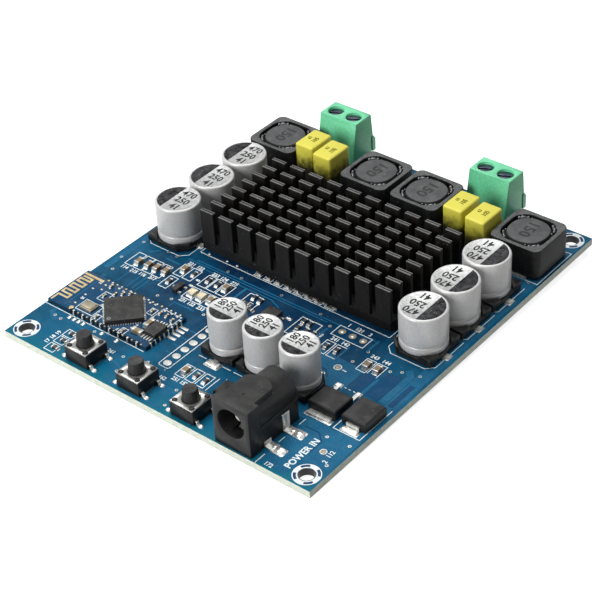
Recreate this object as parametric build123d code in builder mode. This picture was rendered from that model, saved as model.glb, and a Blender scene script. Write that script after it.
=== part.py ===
from build123d import *
import os

os.makedirs("parts", exist_ok=True)

# Origin: centre of the four mounting holes on the underside of the board, +X along
# the edge with the buttons and the power jack, +Y to the edge with the screw
# terminals, +Z up. All sizes are in millimetres.

# Board
board_x = 80.0
board_y = 96.0
board_thickness = 1.6
hole_inset = 3.25
mounting_hole_diameter = 3.4
hole_spacing_x = board_x - 2 * hole_inset
hole_spacing_y = board_y - 2 * hole_inset
top = board_thickness
lead_clearance = 0.12

# Heatsink: a comb of fins cut across into pins
sink_x = 50.0
sink_y = 24.7
sink_front_y = -3.6
sink_centre_y = sink_front_y + sink_y / 2
sink_height = 9.9
sink_base = 2.0
pin_columns = 10
pin_rows = 8
pin_length = 3.4
pin_thickness = 1.4
pin_pitch_x = (sink_x - pin_length) / (pin_columns - 1)
pin_pitch_y = (sink_y - pin_thickness) / (pin_rows - 1)

# Amplifier chips under the heatsink
chip_x = 11.0
chip_y = 6.2
chip_height = 0.9
chip_stand_off = 0.1
chip_offset_x = 12.5
sink_bottom = top + chip_stand_off + chip_height
pin_floor = sink_bottom + sink_base
sink_top = sink_bottom + sink_height

# Electrolytic capacitors
large_can_radius = 5.0
large_can_top = 10.2
large_plinth = 10.3
large_can_x = 32.35
large_can_y = (-2.5, 8.4, 19.3)
small_can_radius = 4.0
small_can_top = 10.6
small_plinth = 8.3
small_can_x = (2.0, 11.15, 20.3)
small_can_y = -25.9
plinth_bottom = 0.3
plinth_floor = 1.3
plinth_post_top = 2.1
plinth_chamfer = 2.1
plinth_well_clearance = 0.2
can_neck_height = 0.9
can_neck_depth = 0.4
neck_sides = 16
terminal_width = 1.3
terminal_reach = 1.1
terminal_inner = 2.2

# Power inductors
inductor_side = 12.3
inductor_corner = 1.7
inductor_height = 7.4
inductor_foot = 0.4
inductor_wall = 0.95
inductor_well_corner = 2.6
inductor_floor = 1.0
inductor_x = (-32.8, -6.8, 6.8, 32.8)
inductor_y = 34.0
core_radius = 4.37
core_sides = 16
core_drop = 0.1
inductor_terminal_width = 7.0
inductor_terminal_depth = 2.2
inductor_terminal_reach = 0.5

# Film capacitors
film_x = 4.9
film_y = 7.2
film_top = 9.8
film_edge = 0.4
film_top_edge = 0.25
film_centres = ((-23.8, 33.2), (-17.9, 32.0), (17.3, 31.9), (23.5, 31.0))
film_lead_span = 5.0
film_lead_diameter = 0.6

# Screw terminal blocks
block_x = (-24.4, 16.8)
block_width = 10.2
block_pitch = 5.08
block_screw_y = 45.5
block_top = 10.0
block_front_bottom_y = 41.3
block_front_top_y = 43.0
block_back_top_y = 48.5
block_back_low_y = 49.1
block_step_top = 4.3
block_step_bottom = 3.1
block_step_y = 50.0
block_side_groove_y = 48.6
block_side_groove_width = 0.6
block_side_groove_depth = 0.4
block_side_groove_top = 4.2
cage_floor = 0.6
cage_well_x = 4.2
cage_well_front_y = 43.2
cage_well_back_y = 47.8
driver_hole_diameter = 3.8
shank_opening = 3.1
head_seat = 8.2
head_diameter = 3.62
head_height = 1.2
driver_slot_width = 0.6
driver_slot_depth = 0.6
shank_diameter = 2.9
thread_clearance = 0.04
thread_sides = 8
bar_bottom = 3.9
bar_thickness = 0.6
bar_width = 2.7
shank_tip_gap = 0.1
cage_x = 4.0
cage_side = 0.5
cage_plate = 0.65
cage_rest = 0.7
cage_height = 4.75
cage_travel = 2.2
cage_head_room = 0.15
cage_roof = cage_rest + cage_height + cage_travel + cage_head_room
cage_front_y = 43.9
cage_back_y = 47.6
wire_entry_x = 3.0
wire_entry_z = 2.4
wire_entry_bottom = 1.5
wire_mouth_x = 3.8
wire_mouth_z = 3.2
wire_mouth_depth = 0.7
block_pin_x = 1.0
block_pin_y = 0.6
block_pin_centre_y = 43.55
bar_end_y = 47.5

# Leads below the board, each with a cone of solder
tail_length = 1.5
solder_radius = 1.2
solder_height = 0.8
solder_bevel = 0.55
lead_sides = 6
solder_sides = 8

# Power jack
jack_x = 21.5
jack_front_y = -47.6
jack_width = 8.8
jack_height = 10.8
jack_flange = 3.2
jack_length = 14.2
jack_axis_z = 6.3
jack_barrel_radius = 4.1
jack_socket_radius = 3.2
jack_socket_depth = 9.6
jack_tongue_half_width = 3.3
jack_tongue_bottom = 9.4
jack_tongue_end = 9.9
jack_pin_radius = 1.0
jack_pin_start = 2.0
jack_leaf_width = 2.4
jack_leaf_thickness = 0.3
jack_leaf_clearance = 0.1
jack_leaf_floor = 2.2
jack_leaf_peak = 3.45
jack_leaf_peak_depth = 5.2
jack_leaf_front_depth = 3.2
jack_channel_depth = 2.6
jack_foot_y = (-42.7, -37.3)
jack_foot_width = 2.0
jack_foot_reach = 2.4
jack_foot_rise = (1.2, 4.0)
jack_foot_thickness = 0.35

# Push buttons
button_x = (-19.95, -5.85, 8.25)
button_y = -44.15
switch_side = 6.0
switch_bottom = 0.1
switch_base_top = 3.3
switch_cover_side = 5.9
switch_cover_thickness = 0.25
plunger_sides = 16
switch_well_side = 4.4
switch_well_floor = 1.4
actuator_radius = 1.75
actuator_tip_radius = 1.52
actuator_clearance = 0.1
actuator_flange_clearance = 0.1
actuator_flange_bottom = 2.1
actuator_top = 6.1
dome_radius = 2.1
dome_crown_radius = 0.9
dome_rise = 0.3
dome_thickness = 0.1
dome_sides = 6
leg_width = 0.7
leg_span_y = 4.5
leg_thickness = 0.25
leg_exit_height = 1.0
leg_knee = 0.5
leg_tip = 1.35

# Wireless module, a small board soldered flat on the main one
module_x = 28.0
module_y = 12.0
module_thickness = 1.0
module_centre_x = -25.6
module_centre_y = -29.9
module_top = top + module_thickness

# Chips on the module
processor_side = 8.0
processor_height = 1.1
processor_centre = (-23.2, -30.0)
memory_x = 3.1
memory_y = 3.9
memory_height = 1.1
memory_centre = (-13.3, -31.15)
memory_lead_pitch = 0.7
memory_lead_width = 0.3
memory_lead_length = 1.2
crystal_x = 3.2
crystal_y = 2.4
crystal_height = 0.8
crystal_lid = 0.25
crystal_rim = 0.2
crystal_centre = (-30.1, -33.2)

# Power parts beside the jack
regulator_centre_x = 28.7
regulator_front_y = -30.4
regulator_x = 6.6
regulator_y = 5.7
regulator_height = 2.3
regulator_tab_x = 5.3
regulator_tab_y = 1.3
regulator_tab_thickness = 0.5
regulator_lead_offset = 2.29
regulator_lead_width = 0.8
regulator_lead_length = 2.5
diode_centre = (36.0, -26.6)
diode_x = 5.8
diode_y = 6.6
diode_height = 2.3
diode_terminal_width = 3.0
diode_terminal_reach = 0.4
diode_terminal_height = 1.1
diode_strap_inner = 1.4
protection_diode_centre = (10.0, -36.7)
protection_diode_x = 2.4
protection_diode_y = 4.2
protection_diode_height = 2.1
protection_diode_strap = 1.5
body_stand_off = 0.2
body_bevel = 0.3

# Small chips on the main board, each named by its long side
capacitor_length = 2.0
capacitor_width = 1.25
capacitor_height = 0.95
capacitors_along_y = (
    (-33.45, -14.8), (-30.9, -14.5), (-28.7, -14.3), (-26.3, -14.1), (-23.55, -11.1),
    (-11.9, -11.1), (-11.75, -16.2), (-0.75, -36.0), (27.1, -14.0), (29.6, -13.95),
)
resistor_length = 1.6
resistor_width = 0.85
resistor_height = 0.5
resistors_along_y = (
    (-20.85, -11.15), (-16.85, -11.05), (-14.35, -11.0), (16.7, -13.75), (19.3, -13.65),
    (8.15, -10.1), (9.7, -10.2), (8.45, -12.5), (10.5, -12.4), (12.2, -12.4), (1.85, -35.8),
    (4.35, -36.0), (-23.6, -16.0), (-5.2, -9.9), (-3.4, -10.2),
)
resistors_along_x = ((-5.3, -12.5), (-3.5, -13.6), (-27.3, -45.9), (-27.3, -43.4), (-27.4, -40.9))
lamp_x = 1.7
lamp_y = 2.0
lamp_height = 0.9
lamp_centres = ((-16.7, -16.4), (-14.25, -16.35))
small_stand_off = 0.1
small_lead_width = 0.45
small_lead_length = 0.8
small_lead_height = 0.35
transistor_x = 1.4
transistor_y = 2.9
transistor_height = 1.0
transistor_centre = (-20.3, -16.8)
transistor_lead_offset = 1.1
transistor_lead_pitch = 0.95
converter_x = 3.4
converter_y = 3.4
converter_height = 1.5
converter_centre = (1.85, -13.0)
converter_lead_offset = 2.1
converter_lead_pitch = 1.9

# Small chips on the module
tantalum_length = 2.6
tantalum_width = 1.2
tantalum_height = 0.9
tantalum_along_y = (-16.0, -30.1)
tantalum_along_x = (-16.2, -33.4)
module_chip_x = 0.55
module_chip_y = 1.0
module_chip_height = 0.45
module_chips = (
    (-30.2, -28.6), (-28.75, -26.9), (-27.5, -25.85), (-26.2, -24.9), (-31.3, -25.4),
    (-18.5, -26.6), (-16.65, -26.1), (-14.95, -26.0), (-13.1, -26.5), (-26.6, -34.7), (-19.0, -34.8),
)


def plinth_outline(side: float) -> list[tuple[float, float]]:
    """Square with two corners cut off, on its +X side."""
    half = side / 2
    return [
        (-half, -half), (half - plinth_chamfer, -half), (half, plinth_chamfer - half),
        (half, half - plinth_chamfer), (half - plinth_chamfer, half), (-half, half),
    ]


def can(x: float, y: float, radius: float, height: float) -> BuildPart:
    """Rolled aluminium can drawn in to a neck where it meets its plinth."""
    shoulder = plinth_floor + can_neck_height
    with BuildPart() as body:
        with BuildSketch(Plane.XY.offset(top + plinth_floor)):
            with Locations((x, y)):
                RegularPolygon(radius - can_neck_depth, neck_sides)
        extrude(amount=can_neck_height)
        with BuildSketch(Plane.XY.offset(top + shoulder)):
            with Locations((x, y)):
                Circle(radius)
        extrude(amount=height - shoulder)
    return body


def clamp_screw(x: float) -> BuildPart:
    """Slotted screw that turns in its seat and lifts the cage under it."""
    with BuildPart() as screw:
        with BuildSketch(Plane.XY.offset(top + head_seat)):
            with Locations((x, block_screw_y)):
                Circle(head_diameter / 2)
        extrude(amount=head_height)
        with BuildSketch(Plane.XY.offset(top + head_seat)):
            with Locations((x, block_screw_y)):
                RegularPolygon(shank_diameter / 2, thread_sides)
        extrude(amount=-(head_seat - bar_bottom - bar_thickness - shank_tip_gap))
        with BuildSketch(Plane.XY.offset(top + head_seat + head_height - driver_slot_depth)):
            with Locations((x, block_screw_y)):
                Rectangle(head_diameter + 1, driver_slot_width, rotation=25)
        extrude(amount=head_height, mode=Mode.SUBTRACT)
    return screw


def clamp_cage(x: float) -> BuildPart:
    """Loop of plated steel round the contact bar, threaded at its top."""
    depth = cage_back_y - cage_front_y
    middle = (cage_back_y + cage_front_y) / 2
    with BuildPart() as cage:
        with BuildSketch(Plane.XY.offset(top + cage_rest)):
            with Locations((x, middle)):
                Rectangle(cage_x, depth)
        extrude(amount=cage_height)
        with BuildSketch(Plane.XY.offset(top + cage_rest + cage_plate)):
            with Locations((x, middle)):
                Rectangle(cage_x - 2 * cage_side, depth + 1)
        extrude(amount=cage_height - 2 * cage_plate, mode=Mode.SUBTRACT)
        with BuildSketch(Plane.XY.offset(top + cage_rest + cage_height)):
            with Locations((x, block_screw_y)):
                RegularPolygon(
                    shank_diameter / 2 + thread_clearance, thread_sides, major_radius=False
                )
        extrude(amount=-cage_plate, mode=Mode.SUBTRACT)
    return cage


def terminal_block(x: float) -> BuildPart:
    """Two-way block with sloped front, driver holes, wire entries and clamp wells."""
    ways = [(x - block_pitch / 2, 0), (x + block_pitch / 2, 0)]
    with BuildPart() as block:
        with BuildSketch(Plane.YZ.offset(x - block_width / 2)):
            with BuildLine():
                Polyline(
                    (block_front_bottom_y, top), (block_front_top_y, top + block_top),
                    (block_back_top_y, top + block_top), (block_back_low_y, top + block_step_top),
                    (block_step_y, top + block_step_bottom), (block_step_y, top),
                    (block_front_bottom_y, top),
                )
            make_face()
        extrude(amount=block_width)
        with BuildSketch(Plane.XY.offset(top + cage_floor)):
            with Locations(*[(way[0], (cage_well_front_y + cage_well_back_y) / 2) for way in ways]):
                Rectangle(cage_well_x, cage_well_back_y - cage_well_front_y)
        extrude(amount=cage_roof - cage_floor, mode=Mode.SUBTRACT)
        with BuildSketch(Plane.XY.offset(top + cage_roof)):
            with Locations(*[(way[0], block_screw_y) for way in ways]):
                Rectangle(shank_opening, shank_opening)
        extrude(amount=head_seat - cage_roof, mode=Mode.SUBTRACT)
        with BuildSketch(Plane.XY.offset(top + head_seat)):
            with Locations(*[(way[0], block_screw_y) for way in ways]):
                Circle(driver_hole_diameter / 2)
        extrude(amount=block_top - head_seat, mode=Mode.SUBTRACT)
        with BuildSketch(Plane.XZ.offset(-cage_well_back_y)):
            with Locations(*[(way[0], top + wire_entry_bottom + wire_entry_z / 2) for way in ways]):
                Rectangle(wire_entry_x, wire_entry_z)
        extrude(amount=-(block_step_y - cage_well_back_y), mode=Mode.SUBTRACT)
        with BuildSketch(Plane.XZ.offset(-block_step_y)):
            with Locations(*[(way[0], top + wire_entry_bottom + wire_entry_z / 2) for way in ways]):
                Rectangle(wire_mouth_x, wire_mouth_z)
        extrude(amount=wire_mouth_depth, mode=Mode.SUBTRACT)
        with BuildSketch(Plane.XY.offset(top)):
            with Locations(*[(way[0], block_pin_centre_y) for way in ways]):
                Rectangle(block_pin_x, block_pin_y)
        extrude(amount=cage_floor, mode=Mode.SUBTRACT)
        with BuildSketch(Plane.XY.offset(top)):
            with Locations((x + block_width / 2, block_side_groove_y)):
                Rectangle(2 * block_side_groove_depth, block_side_groove_width)
        extrude(amount=block_side_groove_top, mode=Mode.SUBTRACT)
    return block


def inductor_shield(x: float) -> BuildPart:
    """Square ferrite shield with cut corners and a well for the wound core."""
    well = inductor_side - 2 * inductor_wall
    with BuildPart() as shield:
        with BuildSketch(Plane.XY.offset(top + inductor_foot)) as outline:
            with Locations((x, inductor_y)):
                Rectangle(inductor_side, inductor_side)
            chamfer(outline.vertices(), length=inductor_corner)
        extrude(amount=inductor_height - inductor_foot)
        with BuildSketch(Plane.XY.offset(top + inductor_floor)) as opening:
            with Locations((x, inductor_y)):
                Rectangle(well, well)
            chamfer(opening.vertices(), length=inductor_well_corner)
        extrude(amount=inductor_height - inductor_floor, mode=Mode.SUBTRACT)
    return shield


def button(x: float) -> BuildPart:
    """Tapered plunger with the square flange that keeps it under the cover plate."""
    flange = switch_well_side - 2 * actuator_flange_clearance
    with BuildPart() as plunger:
        with BuildSketch(Plane.XY.offset(top + actuator_flange_bottom)):
            with Locations((x, button_y)):
                Rectangle(flange, flange)
        extrude(amount=switch_base_top - actuator_flange_bottom)
        for z, radius in ((switch_base_top, actuator_radius), (actuator_top, actuator_tip_radius)):
            with BuildSketch(Plane.XY.offset(top + z)):
                with Locations((x, button_y)):
                    RegularPolygon(radius, plunger_sides)
        loft(ruled=True)
    return plunger


large_can_centres = [(side * large_can_x, y) for side in (-1, 1) for y in large_can_y]
small_can_centres = [(x, small_can_y) for x in small_can_x]
way_centres = [x + side * block_pitch / 2 for x in block_x for side in (-1, 1)]
block_pin_centres = [(x, block_pin_centre_y) for x in way_centres]
film_lead_centres = [(x, y + side * film_lead_span / 2) for x, y in film_centres for side in (-1, 1)]
chip_centres = [(side * chip_offset_x, sink_centre_y) for side in (-1, 1)]

# Main board with mounting holes and the holes of the leads that pass through it
with BuildPart() as circuit_board:
    with BuildSketch():
        Rectangle(board_x, board_y)
        with GridLocations(hole_spacing_x, hole_spacing_y, 2, 2):
            Circle(mounting_hole_diameter / 2, mode=Mode.SUBTRACT)
        with Locations(*block_pin_centres):
            Rectangle(
                block_pin_x + 2 * lead_clearance, block_pin_y + 2 * lead_clearance, mode=Mode.SUBTRACT
            )
        with Locations(*film_lead_centres):
            RegularPolygon(film_lead_diameter / 2 + lead_clearance, lead_sides, mode=Mode.SUBTRACT)
    extrude(amount=board_thickness)
circuit_board.part.label = "circuit_board"
export_step(circuit_board.part, "parts/circuit_board.step")

# Heatsink: the comb is drawn across its fins, extruded along them and then cut
# crosswise into pins down to the base
with BuildPart() as heatsink:
    with BuildSketch(Plane.YZ.offset(-sink_x / 2)):
        with Locations((sink_centre_y, (sink_bottom + pin_floor) / 2)):
            Rectangle(sink_y, sink_base)
        with Locations((sink_centre_y, (pin_floor + sink_top) / 2)):
            with GridLocations(pin_pitch_y, 1, pin_rows, 1):
                Rectangle(pin_thickness, sink_top - pin_floor)
    extrude(amount=sink_x)
    with BuildSketch(Plane.XY.offset(pin_floor)):
        with Locations((0, sink_centre_y)):
            with GridLocations(pin_pitch_x, 1, pin_columns - 1, 1):
                Rectangle(pin_pitch_x - pin_length, sink_y + 1)
    extrude(amount=sink_height, mode=Mode.SUBTRACT)
heatsink.part.label = "heatsink"
export_step(heatsink.part, "parts/heatsink.step")

with BuildPart() as amplifier_chips:
    with BuildSketch(Plane.XY.offset(top + chip_stand_off)):
        with Locations(*chip_centres):
            Rectangle(chip_x, chip_y)
    extrude(amount=chip_height)
amplifier_chips.part.label = "amplifier_chips"
export_step(amplifier_chips.part, "parts/amplifier_chips.step")

# Nine electrolytic cans
can_names = (
    "left_capacitor_front", "left_capacitor_middle", "left_capacitor_rear",
    "right_capacitor_front", "right_capacitor_middle", "right_capacitor_rear",
)
for name, (x, y) in zip(can_names, large_can_centres):
    large_can = can(x, y, large_can_radius, large_can_top)
    large_can.part.label = name
    export_step(large_can.part, f"parts/{name}.step")

input_names = ("input_capacitor_left", "input_capacitor_middle", "input_capacitor_right")
for name, (x, y) in zip(input_names, small_can_centres):
    small_can = can(x, y, small_can_radius, small_can_top)
    small_can.part.label = name
    export_step(small_can.part, f"parts/{name}.step")

# Plinths: a flat floor with a post in each corner. The two cut corners mark the
# positive end, which faces the heatsink
with BuildPart() as capacitor_plinths:
    with BuildSketch(Plane.XY.offset(top + plinth_bottom)):
        for x, y in large_can_centres:
            with Locations(Location((x, y, 0), (0, 0, 180 if x > 0 else 0))):
                Polygon(*plinth_outline(large_plinth))
        for x, y in small_can_centres:
            with Locations(Location((x, y, 0), (0, 0, 90))):
                Polygon(*plinth_outline(small_plinth))
    extrude(amount=plinth_post_top - plinth_bottom)
    with BuildSketch(Plane.XY.offset(top + plinth_floor)):
        with Locations(*large_can_centres):
            RegularPolygon(large_can_radius + plinth_well_clearance, 8, major_radius=False, rotation=22.5)
        with Locations(*small_can_centres):
            RegularPolygon(small_can_radius + plinth_well_clearance, 8, major_radius=False, rotation=22.5)
    extrude(amount=plinth_post_top, mode=Mode.SUBTRACT)
capacitor_plinths.part.label = "capacitor_plinths"
export_step(capacitor_plinths.part, "parts/capacitor_plinths.step")

with BuildPart() as capacitor_terminals:
    with BuildSketch(Plane.XY.offset(top)):
        length = large_plinth / 2 + terminal_reach - terminal_inner
        for side in (-1, 1):
            with Locations(*[(x + side * (terminal_inner + length / 2), y) for x, y in large_can_centres]):
                Rectangle(length, terminal_width)
    extrude(amount=plinth_bottom)
    with BuildSketch(Plane.XY.offset(top)):
        length = small_plinth / 2 + terminal_reach - terminal_inner
        for side in (-1, 1):
            with Locations(*[(x, y + side * (terminal_inner + length / 2)) for x, y in small_can_centres]):
                Rectangle(terminal_width, length)
    extrude(amount=plinth_bottom)
capacitor_terminals.part.label = "capacitor_terminals"
export_step(capacitor_terminals.part, "parts/capacitor_terminals.step")

# Four shielded inductors: shield, wound drum core and the clips they stand on
inductor_names = (
    "inductor_shield_far_left", "inductor_shield_centre_left",
    "inductor_shield_centre_right", "inductor_shield_far_right",
)
for name, x in zip(inductor_names, inductor_x):
    shield = inductor_shield(x)
    shield.part.label = name
    export_step(shield.part, f"parts/{name}.step")

with BuildPart() as inductor_cores:
    with BuildSketch(Plane.XY.offset(top + inductor_floor)):
        with Locations(*[(x, inductor_y) for x in inductor_x]):
            RegularPolygon(core_radius, core_sides)
    extrude(amount=inductor_height - inductor_floor - core_drop)
inductor_cores.part.label = "inductor_cores"
export_step(inductor_cores.part, "parts/inductor_cores.step")

with BuildPart() as inductor_terminals:
    with BuildSketch(Plane.XY.offset(top)):
        clip_y = inductor_side / 2 + inductor_terminal_reach - inductor_terminal_depth / 2
        with Locations(*[(x, inductor_y + side * clip_y) for x in inductor_x for side in (-1, 1)]):
            Rectangle(inductor_terminal_width, inductor_terminal_depth)
    extrude(amount=inductor_foot)
inductor_terminals.part.label = "inductor_terminals"
export_step(inductor_terminals.part, "parts/inductor_terminals.step")

with BuildPart() as film_capacitors:
    with BuildSketch(Plane.XY.offset(top)):
        with Locations(*film_centres):
            Rectangle(film_x, film_y)
    extrude(amount=film_top)
    chamfer(film_capacitors.edges().filter_by(Axis.Z), length=film_edge)
    chamfer(film_capacitors.edges().group_by(Axis.Z)[-1], length=film_top_edge)
film_capacitors.part.label = "film_capacitors"
export_step(film_capacitors.part, "parts/film_capacitors.step")

# Every lead that passes through the board carries its cone of solder below
with BuildPart() as film_capacitor_leads:
    with BuildSketch():
        with Locations(*film_lead_centres):
            RegularPolygon(solder_radius, lead_sides)
    extrude(amount=-solder_height)
    chamfer(film_capacitor_leads.edges().group_by(Axis.Z)[0], length=solder_bevel)
    with BuildSketch(Plane.XY.offset(-tail_length)):
        with Locations(*film_lead_centres):
            RegularPolygon(film_lead_diameter / 2, lead_sides)
    extrude(amount=tail_length + top)
film_capacitor_leads.part.label = "film_capacitor_leads"
export_step(film_capacitor_leads.part, "parts/film_capacitor_leads.step")

# Screw terminal blocks with the clamp screws and rising cages of their four ways
for name, x in zip(("terminal_block_left", "terminal_block_right"), block_x):
    block = terminal_block(x)
    block.part.label = name
    export_step(block.part, f"parts/{name}.step")

for number, x in enumerate(way_centres, start=1):
    screw = clamp_screw(x)
    screw.part.label = f"clamp_screw_{number}"
    export_step(screw.part, f"parts/clamp_screw_{number}.step")
    cage = clamp_cage(x)
    cage.part.label = f"clamp_cage_{number}"
    export_step(cage.part, f"parts/clamp_cage_{number}.step")

with BuildPart() as terminal_contacts:
    with BuildSketch():
        with Locations(*block_pin_centres):
            RegularPolygon(solder_radius, solder_sides)
    extrude(amount=-solder_height)
    chamfer(terminal_contacts.edges().group_by(Axis.Z)[0], length=solder_bevel)
    with BuildSketch(Plane.XY.offset(-tail_length)):
        with Locations(*block_pin_centres):
            Rectangle(block_pin_x, block_pin_y)
    extrude(amount=tail_length + top + cage_floor)
    with BuildSketch(Plane.XY.offset(top + cage_floor)):
        with Locations(*block_pin_centres):
            Rectangle(bar_width, block_pin_y)
    extrude(amount=bar_bottom - cage_floor)
    with BuildSketch(Plane.XY.offset(top + bar_bottom)):
        bar_front_y = block_pin_centre_y - block_pin_y / 2
        with Locations(*[(x, (bar_front_y + bar_end_y) / 2) for x in way_centres]):
            Rectangle(bar_width, bar_end_y - bar_front_y)
    extrude(amount=bar_thickness)
terminal_contacts.part.label = "terminal_contacts"
export_step(terminal_contacts.part, "parts/terminal_contacts.step")

# Power jack: square mouth, barrel behind it and a flat tongue over both
jack_front = Plane.XZ.offset(-jack_front_y)
socket_floor_y = jack_front_y + jack_socket_depth
with BuildPart() as power_jack:
    with BuildSketch(jack_front):
        with Locations((jack_x, top + jack_height / 2)):
            Rectangle(jack_width, jack_height)
    extrude(amount=-jack_flange)
    with BuildSketch(jack_front):
        with Locations((jack_x, top + jack_axis_z / 2)):
            Rectangle(2 * jack_barrel_radius, jack_axis_z)
        with Locations((jack_x, top + jack_axis_z)):
            Circle(jack_barrel_radius)
    extrude(amount=-jack_length)
    with BuildSketch(Plane.XY.offset(top + jack_tongue_bottom)):
        with BuildLine():
            Polyline(
                (jack_x - jack_tongue_half_width, jack_front_y + jack_tongue_end - 1.6),
                (jack_x - jack_tongue_half_width, jack_front_y),
                (jack_x + jack_tongue_half_width, jack_front_y),
                (jack_x + jack_tongue_half_width, jack_front_y + jack_tongue_end - 1.6),
            )
            ThreePointArc(
                (jack_x + jack_tongue_half_width, jack_front_y + jack_tongue_end - 1.6),
                (jack_x, jack_front_y + jack_tongue_end),
                (jack_x - jack_tongue_half_width, jack_front_y + jack_tongue_end - 1.6),
            )
        make_face()
    extrude(amount=jack_height - jack_tongue_bottom)
    with BuildSketch(jack_front):
        with Locations((jack_x, top + jack_axis_z)):
            Circle(jack_socket_radius)
    extrude(amount=-jack_socket_depth, mode=Mode.SUBTRACT)
    with BuildSketch(Plane.XZ.offset(-jack_front_y - jack_channel_depth)):
        with Locations((jack_x, top + (jack_leaf_floor + jack_axis_z) / 2)):
            Rectangle(jack_leaf_width + 2 * jack_leaf_clearance, jack_axis_z - jack_leaf_floor)
    extrude(amount=jack_channel_depth - jack_socket_depth, mode=Mode.SUBTRACT)
power_jack.part.label = "power_jack_housing"
export_step(power_jack.part, "parts/power_jack_housing.step")

with BuildPart() as power_jack_pin:
    with BuildSketch(Plane.XZ.offset(-jack_front_y - jack_pin_start)):
        with Locations((jack_x, top + jack_axis_z)):
            Circle(jack_pin_radius)
    extrude(amount=jack_pin_start - jack_socket_depth)
power_jack_pin.part.label = "power_jack_pin"
export_step(power_jack_pin.part, "parts/power_jack_pin.step")

with BuildPart() as power_jack_spring:
    with BuildSketch(Plane.YZ.offset(jack_x - jack_leaf_width / 2)):
        Polygon(
            (socket_floor_y, top + jack_leaf_floor),
            (socket_floor_y, top + jack_leaf_floor + jack_leaf_thickness),
            (jack_front_y + jack_leaf_peak_depth, top + jack_leaf_peak),
            (jack_front_y + jack_leaf_front_depth, top + jack_leaf_floor + 2 * jack_leaf_thickness),
            (jack_front_y + jack_leaf_front_depth, top + jack_leaf_floor + jack_leaf_thickness),
            (jack_front_y + jack_leaf_peak_depth, top + jack_leaf_peak - jack_leaf_thickness),
            (socket_floor_y - 2 * jack_leaf_thickness, top + jack_leaf_floor),
        )
    extrude(amount=jack_leaf_width)
power_jack_spring.part.label = "power_jack_spring"
export_step(power_jack_spring.part, "parts/power_jack_spring.step")

# Four bent tabs hold the jack down, the rear pair standing taller up its sides
tab_x = jack_barrel_radius + jack_foot_thickness / 2
tab_foot_x = jack_barrel_radius + jack_foot_reach / 2
with BuildPart() as power_jack_tabs:
    for y, rise in zip(jack_foot_y, jack_foot_rise):
        with BuildSketch(Plane.XZ.offset(-y - jack_foot_width / 2)):
            for side in (-1, 1):
                with Locations((jack_x + side * tab_x, top + rise / 2)):
                    Rectangle(jack_foot_thickness, rise)
                with Locations((jack_x + side * tab_foot_x, top + jack_foot_thickness / 2)):
                    Rectangle(jack_foot_reach, jack_foot_thickness)
        extrude(amount=jack_foot_width)
power_jack_tabs.part.label = "power_jack_tabs"
export_step(power_jack_tabs.part, "parts/power_jack_tabs.step")

# Push switches: moulded base, plated cover, snap dome, gull legs and the plunger
button_centres = [(x, button_y) for x in button_x]
with BuildPart() as switch_bases:
    with BuildSketch(Plane.XY.offset(top + switch_bottom)):
        with Locations(*button_centres):
            Rectangle(switch_side, switch_side)
    extrude(amount=switch_base_top - switch_bottom)
    with BuildSketch(Plane.XY.offset(top + switch_well_floor)):
        with Locations(*button_centres):
            Rectangle(switch_well_side, switch_well_side)
    extrude(amount=switch_base_top, mode=Mode.SUBTRACT)
switch_bases.part.label = "switch_bases"
export_step(switch_bases.part, "parts/switch_bases.step")

with BuildPart() as switch_covers:
    with BuildSketch(Plane.XY.offset(top + switch_base_top)):
        with Locations(*button_centres):
            Rectangle(switch_cover_side, switch_cover_side)
            RegularPolygon(actuator_radius + actuator_clearance, plunger_sides, mode=Mode.SUBTRACT)
    extrude(amount=switch_cover_thickness)
switch_covers.part.label = "switch_covers"
export_step(switch_covers.part, "parts/switch_covers.step")

with BuildPart() as switch_domes:
    with BuildSketch(Plane.XY.offset(top + switch_well_floor)):
        with Locations(*button_centres):
            RegularPolygon(dome_radius, dome_sides)
    extrude(amount=dome_thickness)
    with BuildSketch(Plane.XY.offset(top + switch_well_floor + dome_thickness)):
        with Locations(*button_centres):
            RegularPolygon(dome_crown_radius, dome_sides)
    extrude(amount=dome_rise - dome_thickness)
switch_domes.part.label = "switch_domes"
export_step(switch_domes.part, "parts/switch_domes.step")

with BuildPart() as switch_legs:
    half = switch_side / 2
    for row in (-1, 1):
        with BuildSketch(Plane.XZ.offset(-button_y - row * leg_span_y / 2 - leg_width / 2)):
            for x in button_x:
                for side in (-1, 1):
                    Polygon(
                        (x + side * half, top + leg_exit_height),
                        (x + side * (half + leg_knee), top + leg_exit_height),
                        (x + side * (half + leg_knee + leg_thickness / 2), top + leg_thickness),
                        (x + side * (half + leg_tip), top + leg_thickness),
                        (x + side * (half + leg_tip), top),
                        (x + side * (half + leg_knee - leg_thickness / 2), top),
                        (x + side * (half + leg_knee - leg_thickness), top + leg_exit_height - leg_thickness),
                        (x + side * half, top + leg_exit_height - leg_thickness),
                    )
        extrude(amount=leg_width)
switch_legs.part.label = "switch_legs"
export_step(switch_legs.part, "parts/switch_legs.step")

for name, x in zip(("button_left", "button_middle", "button_right"), button_x):
    plunger = button(x)
    plunger.part.label = name
    export_step(plunger.part, f"parts/{name}.step")

with BuildPart() as wireless_module_board:
    with BuildSketch(Plane.XY.offset(top)):
        with Locations((module_centre_x, module_centre_y)):
            Rectangle(module_x, module_y)
    extrude(amount=module_thickness)
wireless_module_board.part.label = "wireless_module_board"
export_step(wireless_module_board.part, "parts/wireless_module_board.step")

with BuildPart() as processor:
    with BuildSketch(Plane.XY.offset(module_top)):
        with Locations(Location((*processor_centre, 0), (0, 0, 45))):
            Rectangle(processor_side, processor_side)
    extrude(amount=processor_height)
processor.part.label = "processor"
export_step(processor.part, "parts/processor.step")

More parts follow.
